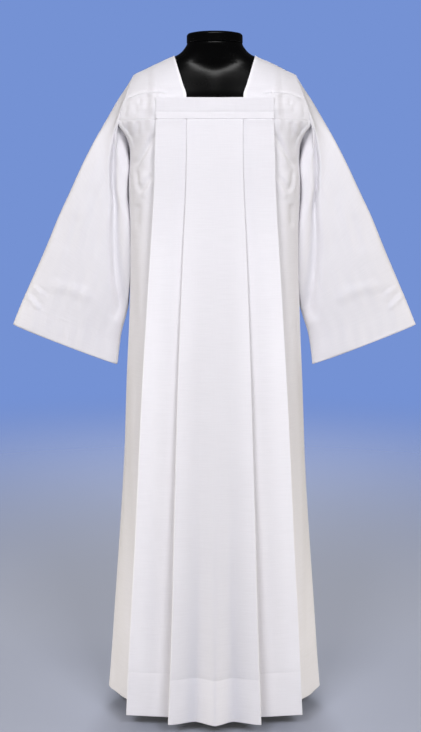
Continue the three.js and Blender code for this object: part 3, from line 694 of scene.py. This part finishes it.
def bandGrid():
    # profile: up the front from the seam, over the folded upper edge and down inside as the facing
    low, top, front, back = band["low"], band["top"], band["front"], band["back"]
    faceRows, facingRows = band["faceRows"], band["facingRows"]
    r = (front - back) / 2
    turn = np.linspace(0.1, 1, band["turnRows"]) * math.pi
    footBack, footUp = np.array(band["foot"]).T
    facing = mix(top - r, top - band["facing"], np.linspace(0.02, 1, facingRows))
    rise = np.concatenate([low + footUp, np.linspace(low + band["faceFrom"], top - r, faceRows),
                           top - r + r * np.sin(turn), facing])
    depth = np.concatenate([front - footBack, np.full(faceRows, front),
                            back + r + r * np.cos(turn), np.full(facingRows, back)])
    # columns crowd towards the ends: x = half sin(a) / sin(last a)
    last = math.pi / 2 * band["crowding"]
    x = body["bandHalf"] * np.sin(np.linspace(-last, last, band["columns"])) / math.sin(last)
    sag = band["sag"] * (1 - (x / body["bandHalf"]) ** 2)
    z = rise[:, None] - sag[None, :] * ((rise - low) / (top - low))[:, None]
    x, y = np.broadcast_to(x[None, :], z.shape), np.broadcast_to(depth[:, None], z.shape)
    isFace = (np.arange(len(depth)) < len(footUp) + faceRows + 2)[:, None]  # up to the start of the fold
    wave = sum(height * softNoise(x, z, *rest) for height, *rest in band["waves"])
    wave = wave * smooth((z - low) / band["calm"][0]) * smooth((top - z) / band["calm"][1])
    y = y + np.where(isFace, wave - swell(z - band["stitchLine"], seams["bandStitch"]), 0)
    ends = smooth((body["bandHalf"] - np.abs(x)) / band["endWide"])
    y = mix(back + band["endGap"], y, np.sqrt(mix(band["endLeast"], 1, ends)))
    length = np.concatenate([[0], np.cumsum(np.hypot(np.diff(rise), np.diff(depth)))])[:, None]
    lighterShare = np.maximum(ramp(rise - band["stitchLine"], *band["plyLow"]), ramp(rise - top, *band["plyTop"]))[:, None]
    return np.stack([x, -y, z], -1), np.stack([x, length + 0 * x], -1), band["plyAndShade"] * lighterShare


bandPoints, bandUv, bandPly = bandGrid()
frontYoke = gridObject("alb_front_yoke", bandPoints, linen, uv=bandUv, plyAndShade=bandPly)
finishPiece(frontYoke, "cloth", "front_yoke")
print("front yoke made")


# back yoke: lies on the shoulder cloth behind, from the seam up to the back of the neckline

backBand = {
    "lift": 2.15, "drop": 0.42, "outer": 0.6, "thickness": 0.8, "rows": 60, "columns": 110, "stitchDown": 14,
    "wave": 0.35, "waves": (60, 50), "seed": 8, "calm": 8, "endDrop": 0.57, "endWide": 2.4, "plyAndShade": 0.5,
}


def backYokeGrid():
    # rows follow the shoulder's fall, columns run straight across; points lift off along the normal
    steps = np.linspace(0, lastStep, 400)
    topStep = np.interp(backBand["drop"], curveThrough(shoulderPath["step"], shoulderPath["drop"], steps), steps)
    edgeAcross = (body["bandHalf"] - neckEnd) / (cornerX - neckEnd)
    fall = np.linspace(lastStep, topStep, backBand["rows"])[:, None] / lastStep
    q = np.linspace(-1, 1, backBand["columns"])[None, :]
    neck = shoulderPoint(np.zeros_like(fall), fall)
    edge = shoulderPoint(np.full_like(fall, edgeAcross), fall)
    x = edge[..., 0] * np.abs(q)
    share = np.clip((x - neck[..., 0]) / (edge[..., 0] - neck[..., 0]), 0, 1)
    below = shoulderPoint(edgeAcross * share, np.broadcast_to(fall, share.shape))
    middle = np.stack([np.sign(q) * x, below[..., 1], below[..., 2]], -1)[:, ::-1]
    down = arcLength(np.swapaxes(middle, 0, 1)).T
    fromTop = down[-1:] - down
    fromEnd = body["bandHalf"] - np.abs(middle[..., 0])
    relief = backBand["wave"] * softNoise(middle[..., 0], down, *backBand["waves"], backBand["seed"])
    for distance in (down, fromTop, fromEnd):
        relief *= smooth(distance / backBand["calm"])
    relief -= swell(fromTop - backBand["stitchDown"], seams["backStitch"]) + swell(down, seams["backYoke"])
    relief -= backBand["endDrop"] * (1 - smooth(fromEnd / backBand["endWide"]))
    normal = gridNormals(middle)
    points = middle + normal * (backBand["lift"] + backBand["outer"] + relief)[..., None]
    return points, normal, np.stack([middle[..., 0], down], -1), fromTop


backYokePoints, backYokeNormals, backYokeUv, backYokeFromTop = backYokeGrid()
backYoke = gridObject("alb_back_yoke", backYokePoints, linen, uv=backYokeUv, plyAndShade=backBand["plyAndShade"])
thicken(backYoke, backBand["thickness"])
finishPiece(backYoke, "cloth", "back_yoke")
print("back yoke made")


# sleeves

sleeve = {
    "clear": 0.08, "clearTop": 0.05, "blend": 0.26, "settle": 0.16, "cuff": 65, "length": 612,
    "outer": 0.6, "thickness": 0.8, "rows": 170, "rowCrowding": 1.12, "columns": 176,
    "cornerStep": 5, "ridgeStep": 13,  # steps round the armhole from the side seam to the yoke corner and the ridge
    "foldDepth": 17, "foldWidth": 0.1, "foldEnds": 0.8, "foldColumn": 6, "foldSlow": 0.75, "foldStart": 0.2,
    "foldFade": 0.16, "steepSide": 0.55, "gentleSide": 1.25,
    # the front hangs forward from the armhole's corner as a lobe; pairs are (start, width)
    "lobeRise": (0.3, 1.2), "lobeFall": (4.2, 2.5), "lobeBlend": 0.06,
    "lobeIn": 6.5, "lobeInRise": (0, 0.04), "lobeInFall": (0.12, 0.12), "lobeInHeight": 1215, "lobeInTall": 45,
    # and its under side hugs the body down to where the sleeve leaves it
    "hugFront": 10.5, "hugBack": 5.0, "hugDepth": (6, 34), "hugRise": (0, 0.08), "hugFall": (0.62, 0.06),
    "broadWave": 1.5, "broadWaves": (120, 420), "broadFrom": 0.2, "broadSeed": 41, "fineWave": 0.5,
    "fineWaves": (36, 260), "fineSeed": 44, "backShare": 0.55, "calmTop": 0.05, "calmEnd": 0.03, "endLeast": 0.3,
    "plyAndShade": (0.13, 0.07), "plyFrom": (-1.5, 3),
}
cuffLine = 1 - sleeve["cuff"] / sleeve["length"]
# the chord from the under to the upper edge along the sleeve, its thickness, its fullness and where the valley lies
sleeveSections = {
    "s": [0, 0.12, 0.28, 0.5, 0.625, 0.655, 0.7, 0.86, 1],
    "underX": [186, 192.5, 191, 189.2, 189, 189.7, 194.4, 210, 218.8],
    "underZ": [1190, 1145, 1080, 985, 934, 922.4, 905, 855, 790.5],
    "upperX": [173.2, 222, 271, 333, 365.5, 373.3, 385, 418, 448.5],
    "upperZ": [1421, 1345, 1257, 1135, 1065, 1048.2, 1023, 950, 880],
    "thick": [66, 63, 56, 45, 39, 37.4, 35, 27, 21],
    "full": [0.3, 0.2, 0.16, 0.26, 0.42, 0.476, 0.56, 0.8, 1],
    "fold": [0.62, 0.62, 0.35, 0.225, 0.145, 0.123, 0.09, 0.12, 0.2],
}


def armholePoint(k):
    # the armhole's edge for the front half: k counts from the side seam over the yoke corner to the ridge
    corner, ridge = sleeve["cornerStep"], sleeve["ridgeStep"]
    turn = 1 - (1 - body["armholeCorner"]) / corner * np.clip(k, 0, corner)
    z = edgeHeight(turn)
    x, depth = sidePoint(tableAt(bodySections, "z", z), turn, z)
    lower = np.stack([x + sleeve["clear"], np.where(k <= 0, 0, depth), z], -1)
    fall = -(ridge - np.clip(k, corner, ridge)) / (ridge - corner)
    upper = shoulderPoint(np.ones_like(fall), fall) * [1, -1, 1]
    upper[..., 0] += mix(sleeve["clearTop"], sleeve["clear"], np.sqrt(-fall))
    return np.where((k < corner)[..., None], lower, upper)


def sleeveRows():
    # shares of the sleeve's length, closer together at the armhole
    return np.linspace(0, 1, sleeve["rows"]) ** sleeve["rowCrowding"]


def sleeveGrid():
    # rings round a chord from the under to the upper edge: depth = thick (4 a (1 - a))^(full/2), a along the chord
    ridge, foldColumn = sleeve["ridgeStep"], sleeve["foldColumn"]
    k = 2 * ridge * np.arange(sleeve["columns"]) / sleeve["columns"]
    i = np.minimum(k, 2 * ridge - k)  # same for the front and the back half
    isFront = k < ridge
    s = sleeveRows()[:, None]
    at = tableAt(sleeveSections, "s", s)
    before = at["fold"] * (1 - np.cos(math.pi / 2 * np.minimum(i / foldColumn, 1)))
    past = np.maximum((i - foldColumn) / (ridge - foldColumn), 0)
    along = np.where(i < foldColumn, before, at["fold"] + (1 - at["fold"]) * np.sin(math.pi / 2 * past))
    thick = at["thick"] * np.maximum(0, 4 * along * (1 - along)) ** (at["full"] / 2)
    # the first ring is the armhole itself, given along and square to the first chord
    ring = armholePoint(i)
    first = {name: column[0] for name, column in sleeveSections.items()}
    chord0 = np.array([first["upperX"] - first["underX"], first["upperZ"] - first["underZ"]])
    fromUnder = ring[:, [0, 2]] - [first["underX"], first["underZ"]]
    startAlong = fromUnder @ chord0 / (chord0 @ chord0)
    startPast = fromUnder @ np.array([chord0[1], -chord0[0]]) / np.hypot(*chord0)
    flat = smooth(s / sleeve["blend"])
    # one long valley down the front, steep on its outer side, gentle on the lobe's side
    creased = sleeve["foldDepth"] * smooth(s / sleeve["foldStart"]) * mix(1, sleeve["foldSlow"], s)
    creased = creased * smooth((sleeve["foldEnds"] - s) / sleeve["foldFade"])
    width = sleeve["foldWidth"] * np.where(along > at["fold"], sleeve["steepSide"], sleeve["gentleSide"])
    crease = np.where(isFront, np.minimum(thick / 2, creased * bell(along - at["fold"], width)), 0)
    chordX, chordZ = at["upperX"] - at["underX"], at["upperZ"] - at["underZ"]
    size = np.hypot(chordX, chordZ)
    share = mix(startAlong, along, flat)
    push = startPast * (1 - smooth(s / sleeve["settle"]))
    x = at["underX"] + chordX * share + chordZ / size * push
    z = at["underZ"] + chordZ * share - chordX / size * push
    lobe = np.where(isFront, between(i, sleeve["lobeRise"], sleeve["lobeFall"]), 0)
    forward = mix(flat, np.maximum(flat, smooth(s / sleeve["lobeBlend"])), lobe)
    depth = mix(ring[:, 1], thick, forward) - crease
    hug = (1 - along) ** 4 * ramp(depth, *sleeve["hugDepth"]) * between(s, sleeve["hugRise"], sleeve["hugFall"])
    x = x - np.where(isFront, sleeve["hugFront"], sleeve["hugBack"]) * hug
    inwards = between(s, sleeve["lobeInRise"], sleeve["lobeInFall"])
    x = x - sleeve["lobeIn"] * lobe * inwards * bell(z - sleeve["lobeInHeight"], sleeve["lobeInTall"])
    return np.stack([x, np.where(isFront, -1, 1) * depth, z], -1), s, share * size, isFront


sleeveCreases = [
    {"line": [(423, 950), (402, 934), (384, 912)], "width": 4.5, "depth": -2.4, "fadeIn": 0.35},
    {"line": [(414, 958), (396, 944), (376, 918)], "width": 5, "depth": 2.0, "fadeIn": 0.4},
    {"line": [(404, 966), (392, 960), (380, 946)], "width": 4.5, "depth": -1.6, "fadeIn": 0.3},
    {"line": [(392, 966), (376, 960), (362, 944)], "width": 5, "depth": 1.4},
    {"line": [(374, 964), (319, 977), (256, 928)], "width": 13, "depth": -2.6},
    {"line": [(330, 1040), (312, 1080), (300, 1130)], "width": 22, "depth": 1.6},
    {"line": [(262, 1200), (256, 1120), (262, 1020)], "width": 16, "depth": 1.8},
]


def sleevePiece(name, node, side):
    # the tube's outer face: its creases and waves along the normal, sunk at the armhole seam and the cuff's line
    middle, s, across, isFront = sleeveGrid()
    normal = gridNormals(middle, closed=True)
    down = s * sleeve["length"]
    relief = creaseField(middle[..., 0], middle[..., 2], sleeveCreases) * np.where(isFront, 1, sleeve["backShare"])
    broad = softNoise(across, down, *sleeve["broadWaves"], sleeve["broadSeed"] + side)
    relief += sleeve["broadWave"] * smooth(s / sleeve["broadFrom"]) * broad
    relief += sleeve["fineWave"] * softNoise(across, down, *sleeve["fineWaves"], sleeve["fineSeed"])
    relief *= smooth(s / sleeve["calmTop"]) * smooth((1 - s) / sleeve["calmEnd"] + sleeve["endLeast"])
    fromCuff = (s - cuffLine) * sleeve["length"]
    relief -= swell(down, seams["sleeveTop"]) + swell(fromCuff, seams["cuff"])
    points = middle + normal * (sleeve["outer"] + relief)[..., None]
    around = arcLength(middle, closed=True)
    uv = np.stack(np.broadcast_arrays(around, down), -1)
    plyAndShade = sleeve["plyAndShade"][0] + sleeve["plyAndShade"][1] * ramp(fromCuff, *sleeve["plyFrom"])
    if side < 0:
        points, normal = points * [-1, 1, 1], normal * [-1, 1, 1]
    piece = gridObject(name, points, linen, closed=True, uv=uv, plyAndShade=plyAndShade, flip=side < 0)
    thicken(piece, sleeve["thickness"])
    finishPiece(piece, "cloth", node)
    return piece, points, normal


leftSleeve, leftSleevePoints, leftSleeveNormals = sleevePiece("alb_sleeve_left", "sleeve_left", 1)
rightSleeve, rightSleevePoints, rightSleeveNormals = sleevePiece("alb_sleeve_right", "sleeve_right", -1)
print("sleeves made")


# dress form

form = {
    "sides": 160, "squareness": 2.1, "drop": 0.3, "closing": [0.002, 0.5, 0.9],
    # how much lower the neck ends in front and its fall to the sides, rounded, between two heights
    "rootDrop": 24, "rootSlope": 0.43, "rootRound": 15, "rootSoft": 6, "rootRise": (1340, 40), "rootFall": (1434, 40),
    "torso": {
        "z": [780, 792, 880, 960, 1060, 1140, 1220, 1290, 1345, 1360, 1385,
              1410, 1424, 1440, 1450, 1458.6, 1463.5, 1470, 1478, 1482.4, 1484.6, 1486.5],
        "wide": [128, 150, 158, 146, 124, 134, 148, 158, 165, 166.5, 168,
                 166, 160, 129.4, 107.3, 88.2, 78.5, 70.5, 64, 61.2, 60.5, 59.5],
        "front": [92, 106, 112, 104, 95, 106, 117, 121, 120, 116, 99.5,
                  82, 72.5, 62.8, 58.2, 55.9, 55.6, 56.2, 57.4, 57.5, 56.7, 55.85],
        "back": [96, 110, 116, 106, 92, 100, 110, 116, 114, 111, 104,
                 88, 76, 64, 57, 54, 54, 55, 56.5, 56.5, 56, 55],
    },
    "cap": {
        "z": [1486.85, 1488.5, 1502, 1506.3, 1508.5],
        "wide": [59.4, 60.5, 60.3, 57.6, 48],
        "front": [56, 57.5, 57.3, 54.8, 45.5],
        "back": [55, 56.5, 56.3, 53.8, 45],
    },
}


def formPiece(name, node, table, rows):
    # rings: x = wide cos(a)^(2/n), y = depth sin(a)^(2/n), closed at both ends by rings that shrink to the middle
    z = np.unique(np.concatenate([np.linspace(table["z"][0], table["z"][-1], rows), table["z"]]))[:, None]
    at = tableAt(table, "z", z)
    angle = 2 * math.pi * np.arange(form["sides"]) / form["sides"]
    power = 2 / form["squareness"]
    x = (at["wide"] - form["drop"]) * np.sign(np.cos(angle)) * np.abs(np.cos(angle)) ** power
    y = np.sign(np.sin(angle)) * np.abs(np.sin(angle)) ** power
    # towards the middle of the front the depth is read further up the table, so the neck's root dips in a soft V
    dip = form["rootDrop"] - form["rootSlope"] * (np.hypot(x, form["rootRound"]) - form["rootRound"])
    dip = form["rootSoft"] * np.logaddexp(0, dip / form["rootSoft"]) * between(z, form["rootRise"], form["rootFall"])
    front = curveThrough(table["z"], table["front"], np.minimum(z + dip, table["z"][-1]))
    rings = np.stack([x, np.where(y < 0, front, at["back"]) * y, np.broadcast_to(z, x.shape)], -1)
    shrink = np.array(form["closing"])[:, None, None] * [1, 1, 0] + [0, 0, 1]
    points = np.concatenate([rings[:1] * shrink, rings, rings[-1:] * shrink[::-1]])
    finishPiece(gridObject(name, points, glossBlack, closed=True), "form_gloss", node)


formPiece("form_torso_gloss", "form_torso", form["torso"], 110)
formPiece("form_neck_cap_gloss", "form_neck_cap", form["cap"], 24)
print("dress form made")


# stand: profiles of (radius, height)

stand = {
    "sides": 96, "sharpFrom": 40,
    "pole": [(0.01, 10.35), (12.5, 10.35), (12.5, 771.65), (13.5, 771.65), (54, 771.65), (55, 772.4),
             (55, 778.9), (54, 779.65), (0.01, 779.65)],
    "base": [(0.01, 0), (129.2, 0), (130, 0.8), (130, 10.2), (129.2, 11.4), (127.6, 12), (34, 12), (30, 12.6),
             (24, 16), (20.5, 20.5), (19, 26), (19, 54.5), (18, 56), (12.85, 56), (12.85, 10), (0.01, 10)],
}


def turnedPiece(name, node, profile):
    # the profile swept round the pole's line: x = r cos(a), y = r sin(a)
    angle = 2 * math.pi * np.arange(stand["sides"]) / stand["sides"]
    radius, height = np.array(profile, float).T[:, :, None]
    points = np.stack([radius * np.cos(angle), radius * np.sin(angle), height + 0 * angle], -1)
    piece = gridObject(name, points, satinBlack, closed=True)
    sharp = piece.modifiers.new("edges", "EDGE_SPLIT")
    sharp.split_angle = math.radians(stand["sharpFrom"])
    finishPiece(piece, "stand_metal", node)


turnedPiece("stand_pole_painted", "stand_pole", stand["pole"])
turnedPiece("stand_base_painted", "stand_base", stand["base"])
print("stand made")


# sewing: short raised stitches that follow the cloth

stitching = {
    "length": 2.6, "gap": 1.0, "radius": 0.24, "sides": 6, "look": 0.8,  # look: how far ahead the direction is read
    "rings": [0.0, 0.12, 0.5, 0.88, 1.0], "raise": 0.12, "sink": 0.25, "neckColumn": 4,
}


def alongLine(line, run, at):
    # points of a line at the distances asked for, by its running length
    return np.stack([np.interp(at, run, line[:, axis]) for axis in range(3)], -1)


def stitchRow(name, path, normals):
    # each stitch is a spindle: ring radius = r sqrt(1 - (2t - 1)^4) along its length, laid on the cloth's normal
    pitch = stitching["length"] + stitching["gap"]
    run = arcLength(path[None])[0]
    at = np.arange(pitch / 2, run[-1], pitch)
    centre, up = alongLine(path, run, at), alongLine(normals, run, at)
    tangent = alongLine(path, run, at + stitching["look"]) - alongLine(path, run, at - stitching["look"])
    tangent /= np.linalg.norm(tangent, axis=1, keepdims=True)
    up /= np.linalg.norm(up, axis=1, keepdims=True)
    t, sides = np.array(stitching["rings"]), stitching["sides"]
    ring = stitching["radius"] * np.sqrt(np.maximum(0.02, 1 - np.abs(2 * t - 1) ** 4))[:, None]
    angle = 2 * math.pi * np.arange(sides) / sides
    onwards = ((t - 0.5) * stitching["length"])[:, None] + 0 * angle
    outwards = ring * np.cos(angle) + stitching["raise"] - stitching["sink"] * ((2 * t - 1) ** 2)[:, None]
    shape = np.stack([onwards, outwards, ring * np.sin(angle)], -1).reshape(-1, 3)
    frames = np.stack([tangent, up, np.cross(tangent, up)], 1)
    points = centre[:, None] + shape @ frames
    # quads round each spindle, and a cap at either end
    j, i = np.meshgrid(np.arange(len(t) - 1), np.arange(sides), indexing="ij")
    around = [(0, 0), (1, 0), (1, 1), (0, 1)]
    quads = np.stack([(j + down) * sides + (i + on) % sides for down, on in around], -1).reshape(-1, 4)
    start = (np.arange(len(centre)) * len(t) * sides)[:, None]
    faces = (quads[None] + start[..., None]).reshape(-1, 4).tolist()
    faces += (start + np.arange(sides)).tolist()
    faces += (start + (len(t) - 1) * sides + np.arange(sides)[::-1]).tolist()
    mesh = bpy.data.meshes.new(name)
    mesh.from_pydata((points.reshape(-1, 3) * mm).tolist(), [], faces)
    mesh.update()
    mesh.polygons.foreach_set("use_smooth", np.ones(len(mesh.polygons), bool))
    mesh.materials.append(thread)
    finishPiece(sceneObject(name, mesh), "cloth")


def rowAtHeight(points, normals, height):
    # the line across a sheet at one height, between its rows
    z = points[:, len(points[0]) // 2, 2]
    j = int(np.clip(np.searchsorted(z, height) - 1, 0, len(z) - 2))
    t = (height - z[j]) / (z[j + 1] - z[j])
    return mix(points[j], points[j + 1], t), mix(normals[j], normals[j + 1], t)


def nearestRow(values, wanted):
    # the row whose value is closest to the one wanted
    return int(np.argmin(np.abs(values - wanted)))


def ringLine(points, normals, row):
    # one ring of a tube, closed
    return [np.concatenate([grid[row], grid[row][:1]]) for grid in (points, normals)]


stitchRow("hem_stitches_front", *rowAtHeight(frontPoints, frontNormals, hemLine))
stitchRow("hem_stitches_back", *rowAtHeight(backPoints, backNormals, hemLine))

bandRow = bandPoints[nearestRow(bandPoints[:band["faceRows"], band["columns"] // 2, 2], band["stitchLine"])]
stitchRow("yoke_stitches_front", bandRow, np.tile([0.0, -1.0, 0.0], (len(bandRow), 1)))

backRow = nearestRow(backYokeFromTop[:, backBand["columns"] // 2], backBand["stitchDown"])
stitchRow("yoke_stitches_back", backYokePoints[backRow], backYokeNormals[backRow])

cuffRow = nearestRow(sleeveRows(), cuffLine)
stitchRow("cuff_stitches_left", *ringLine(leftSleevePoints, leftSleeveNormals, cuffRow))
stitchRow("cuff_stitches_right", *ringLine(rightSleevePoints, rightSleeveNormals, cuffRow))

neckColumn = stitching["neckColumn"]
stitchRow("neck_stitches_left", leftShoulderPoints[:, neckColumn], leftShoulderNormals[:, neckColumn])
stitchRow("neck_stitches_right", rightShoulderPoints[:, neckColumn], rightShoulderNormals[:, neckColumn])
print("stitching made")


# folded edges: a narrow roll along each neckline side

neckRoll = {"radius": 0.95, "end": 0.02, "inside": 0.5, "sides": 10, "around": 6}


def rollAlong(name, points, normals):
    # a tube on the sheet's first column: centre + radius (cos(a) u + sin(a) v), u and v square to the line
    path = points[:, 0] - normals[:, 0] * neckRoll["inside"]
    tangent = np.gradient(path, axis=0)
    tangent /= np.linalg.norm(tangent, axis=1, keepdims=True)
    u = np.cross(tangent, [1.0, 0.0, 0.0])
    u /= np.linalg.norm(u, axis=1, keepdims=True)
    v = np.cross(tangent, u)
    angle = 2 * math.pi * np.arange(neckRoll["sides"])[None, :, None] / neckRoll["sides"]
    radius = np.full((len(path), 1, 1), neckRoll["radius"])
    radius[0] = radius[-1] = neckRoll["end"]
    tube = path[:, None] + radius * (np.cos(angle) * u[:, None] + np.sin(angle) * v[:, None])
    down = arcLength(path[None])[0][:, None]
    uv = np.stack(np.broadcast_arrays(np.linspace(0, neckRoll["around"], neckRoll["sides"] + 1), down), -1)
    finishPiece(gridObject(name, tube, linen, closed=True, uv=uv, plyAndShade=1.0), "cloth")


rollAlong("neck_edge_left", leftShoulderPoints, leftShoulderNormals)
rollAlong("neck_edge_right", rightShoulderPoints, rightShoulderNormals)
print("edges made")


# floor, light, backdrop and camera

studio = {
    "floorColor": (0.40, 0.43, 0.52, 1), "floorRoughness": 0.7, "floorReach": 6.5, "floorDrop": 0.5,
    "fadeFrom": 0.7, "fadeTo": 4.2, "sides": 96, "rings": 12,
    "ambient": (0.16, 0.153, 0.146, 1), "mirrored": (0.03, 0.03, 0.032, 1), "backdrop": (0.178, 0.287, 0.658, 1),
}
# sizes and places in metres; the first two stand on both sides
lamps = {
    "Key": {"place": (1.35, -3.3, 3.0), "aim": (0, 0, 1.3), "size": (1.3, 1.0), "power": 26.2, "spread": 100,
            "color": (0.958, 0.955, 1.0)},
    "Fill": {"place": (3.0, -0.6, 0.6), "aim": (0, 0, 0.12), "size": (1.2, 0.7), "power": 5.6, "spread": 70,
             "color": (1.0, 0.905, 0.71)},
    "glossLight": {"place": (0, -1.35, 3.2), "aim": (0, -0.05, 1.4), "size": (1.1, 0.5), "power": 9.5,
                   "color": (1.0, 1.0, 1.0), "glossOnly": True},
    "backLight": {"place": (0, 3.5, 2.4), "aim": (0, 0, 0.9), "size": (1.8, 1.3), "power": 95,
                  "color": (0.98, 0.985, 1.0)},
}
view = {"place": (-0.009, -2.6, 1.1908), "pitch": 8.857, "lens": 57.74, "sensor": 36, "far": 60}


def stageMaterial():
    # pale floor that thins out into the plain backdrop: alpha falls from 1 to 0 between two radii
    material, nodes, links, shader = newMaterial("paleStage")
    socket(shader, "Roughness", studio["floorRoughness"])
    socket(shader, "Base Color", studio["floorColor"])
    place = nodes.new("ShaderNodeTexCoord")
    reach = nodes.new("ShaderNodeVectorMath")
    reach.operation = "LENGTH"
    links.new(place.outputs["Object"], reach.inputs[0])
    fade = nodes.new("ShaderNodeMapRange")
    fade.interpolation_type = "SMOOTHSTEP"
    span = {"From Min": studio["fadeFrom"], "From Max": studio["fadeTo"], "To Min": 1.0, "To Max": 0.0}
    for name, value in span.items():
        socket(fade, name, value)
    links.new(reach.outputs["Value"], fade.inputs["Value"])
    links.new(fade.outputs[0], shader.inputs["Alpha"])
    return material


def stageFloor():
    # a flat disc: rings x = r cos(a), y = r sin(a), just under the stand
    angle = 2 * math.pi * np.arange(studio["sides"]) / studio["sides"]
    radius = np.linspace(1, studio["floorReach"] / mm, studio["rings"])[:, None]
    points = np.stack([radius * np.cos(angle), -radius * np.sin(angle), 0 * radius * angle - studio["floorDrop"]], -1)
    gridObject("studio_floor", points, stageMaterial(), closed=True)


def areaLight(name, side, place, aim, size, power, color, spread=180, glossOnly=False):
    # a rectangle of light turned from its place towards its aim; side is -1 or 1 across the middle
    light = bpy.data.lights.new(name, "AREA")
    light.shape = "RECTANGLE"
    light.size, light.size_y = size
    light.energy = power
    light.color = color
    light.spread = math.radians(spread)
    lamp = sceneObject(name, light)
    lamp.location = np.array(place, float) * [side, 1, 1]
    away = np.array(lamp.location) - aim
    lamp.rotation_euler = (math.atan2(math.hypot(away[0], away[1]), away[2]), 0,
                           math.atan2(away[1], away[0]) + math.pi / 2)
    lamp.visible_camera = False
    lamp.visible_glossy = glossOnly
    lamp.visible_diffuse = not glossOnly


def studioWorld():
    # soft light all round; the camera sees the plain backdrop, gloss sees a dark room
    world = bpy.data.worlds.new("studioWorld")
    bpy.context.scene.world = world
    world.use_nodes = True
    nodes, links = world.node_tree.nodes, world.node_tree.links
    ray = nodes.new("ShaderNodeLightPath")
    gloss, seen = nodes.new("ShaderNodeMix"), nodes.new("ShaderNodeMix")
    for blend, share, color in ((gloss, "Is Glossy Ray", "mirrored"), (seen, "Is Camera Ray", "backdrop")):
        blend.data_type = "RGBA"
        links.new(ray.outputs[share], blend.inputs[0])
        blend.inputs[7].default_value = studio[color]
    gloss.inputs[6].default_value = studio["ambient"]
    links.new(gloss.outputs[2], seen.inputs[6])
    links.new(seen.outputs[2], nodes["Background"].inputs[0])


def photoCamera():
    # level sideways, tipped down by the pitch
    camera = sceneObject("camera", bpy.data.cameras.new("camera"))
    camera.location = view["place"]
    camera.rotation_euler = (math.radians(90 - view["pitch"]), 0, 0)
    camera.data.lens = view["lens"]
    camera.data.sensor_width = view["sensor"]
    camera.data.clip_end = view["far"]
    return camera


stageFloor()
studioWorld()
for side, word in ((-1, "left"), (1, "right")):
    areaLight(word + "Key", side, **lamps["Key"])
    areaLight(word + "Fill", side, **lamps["Fill"])
areaLight("glossLight", 1, **lamps["glossLight"])
areaLight("backLight", 1, **lamps["backLight"])
bpy.context.scene.view_settings.view_transform = "Standard"
bpy.context.scene.camera = photoCamera()
print("stage, lights and camera made")

bpy.context.view_layer.update()
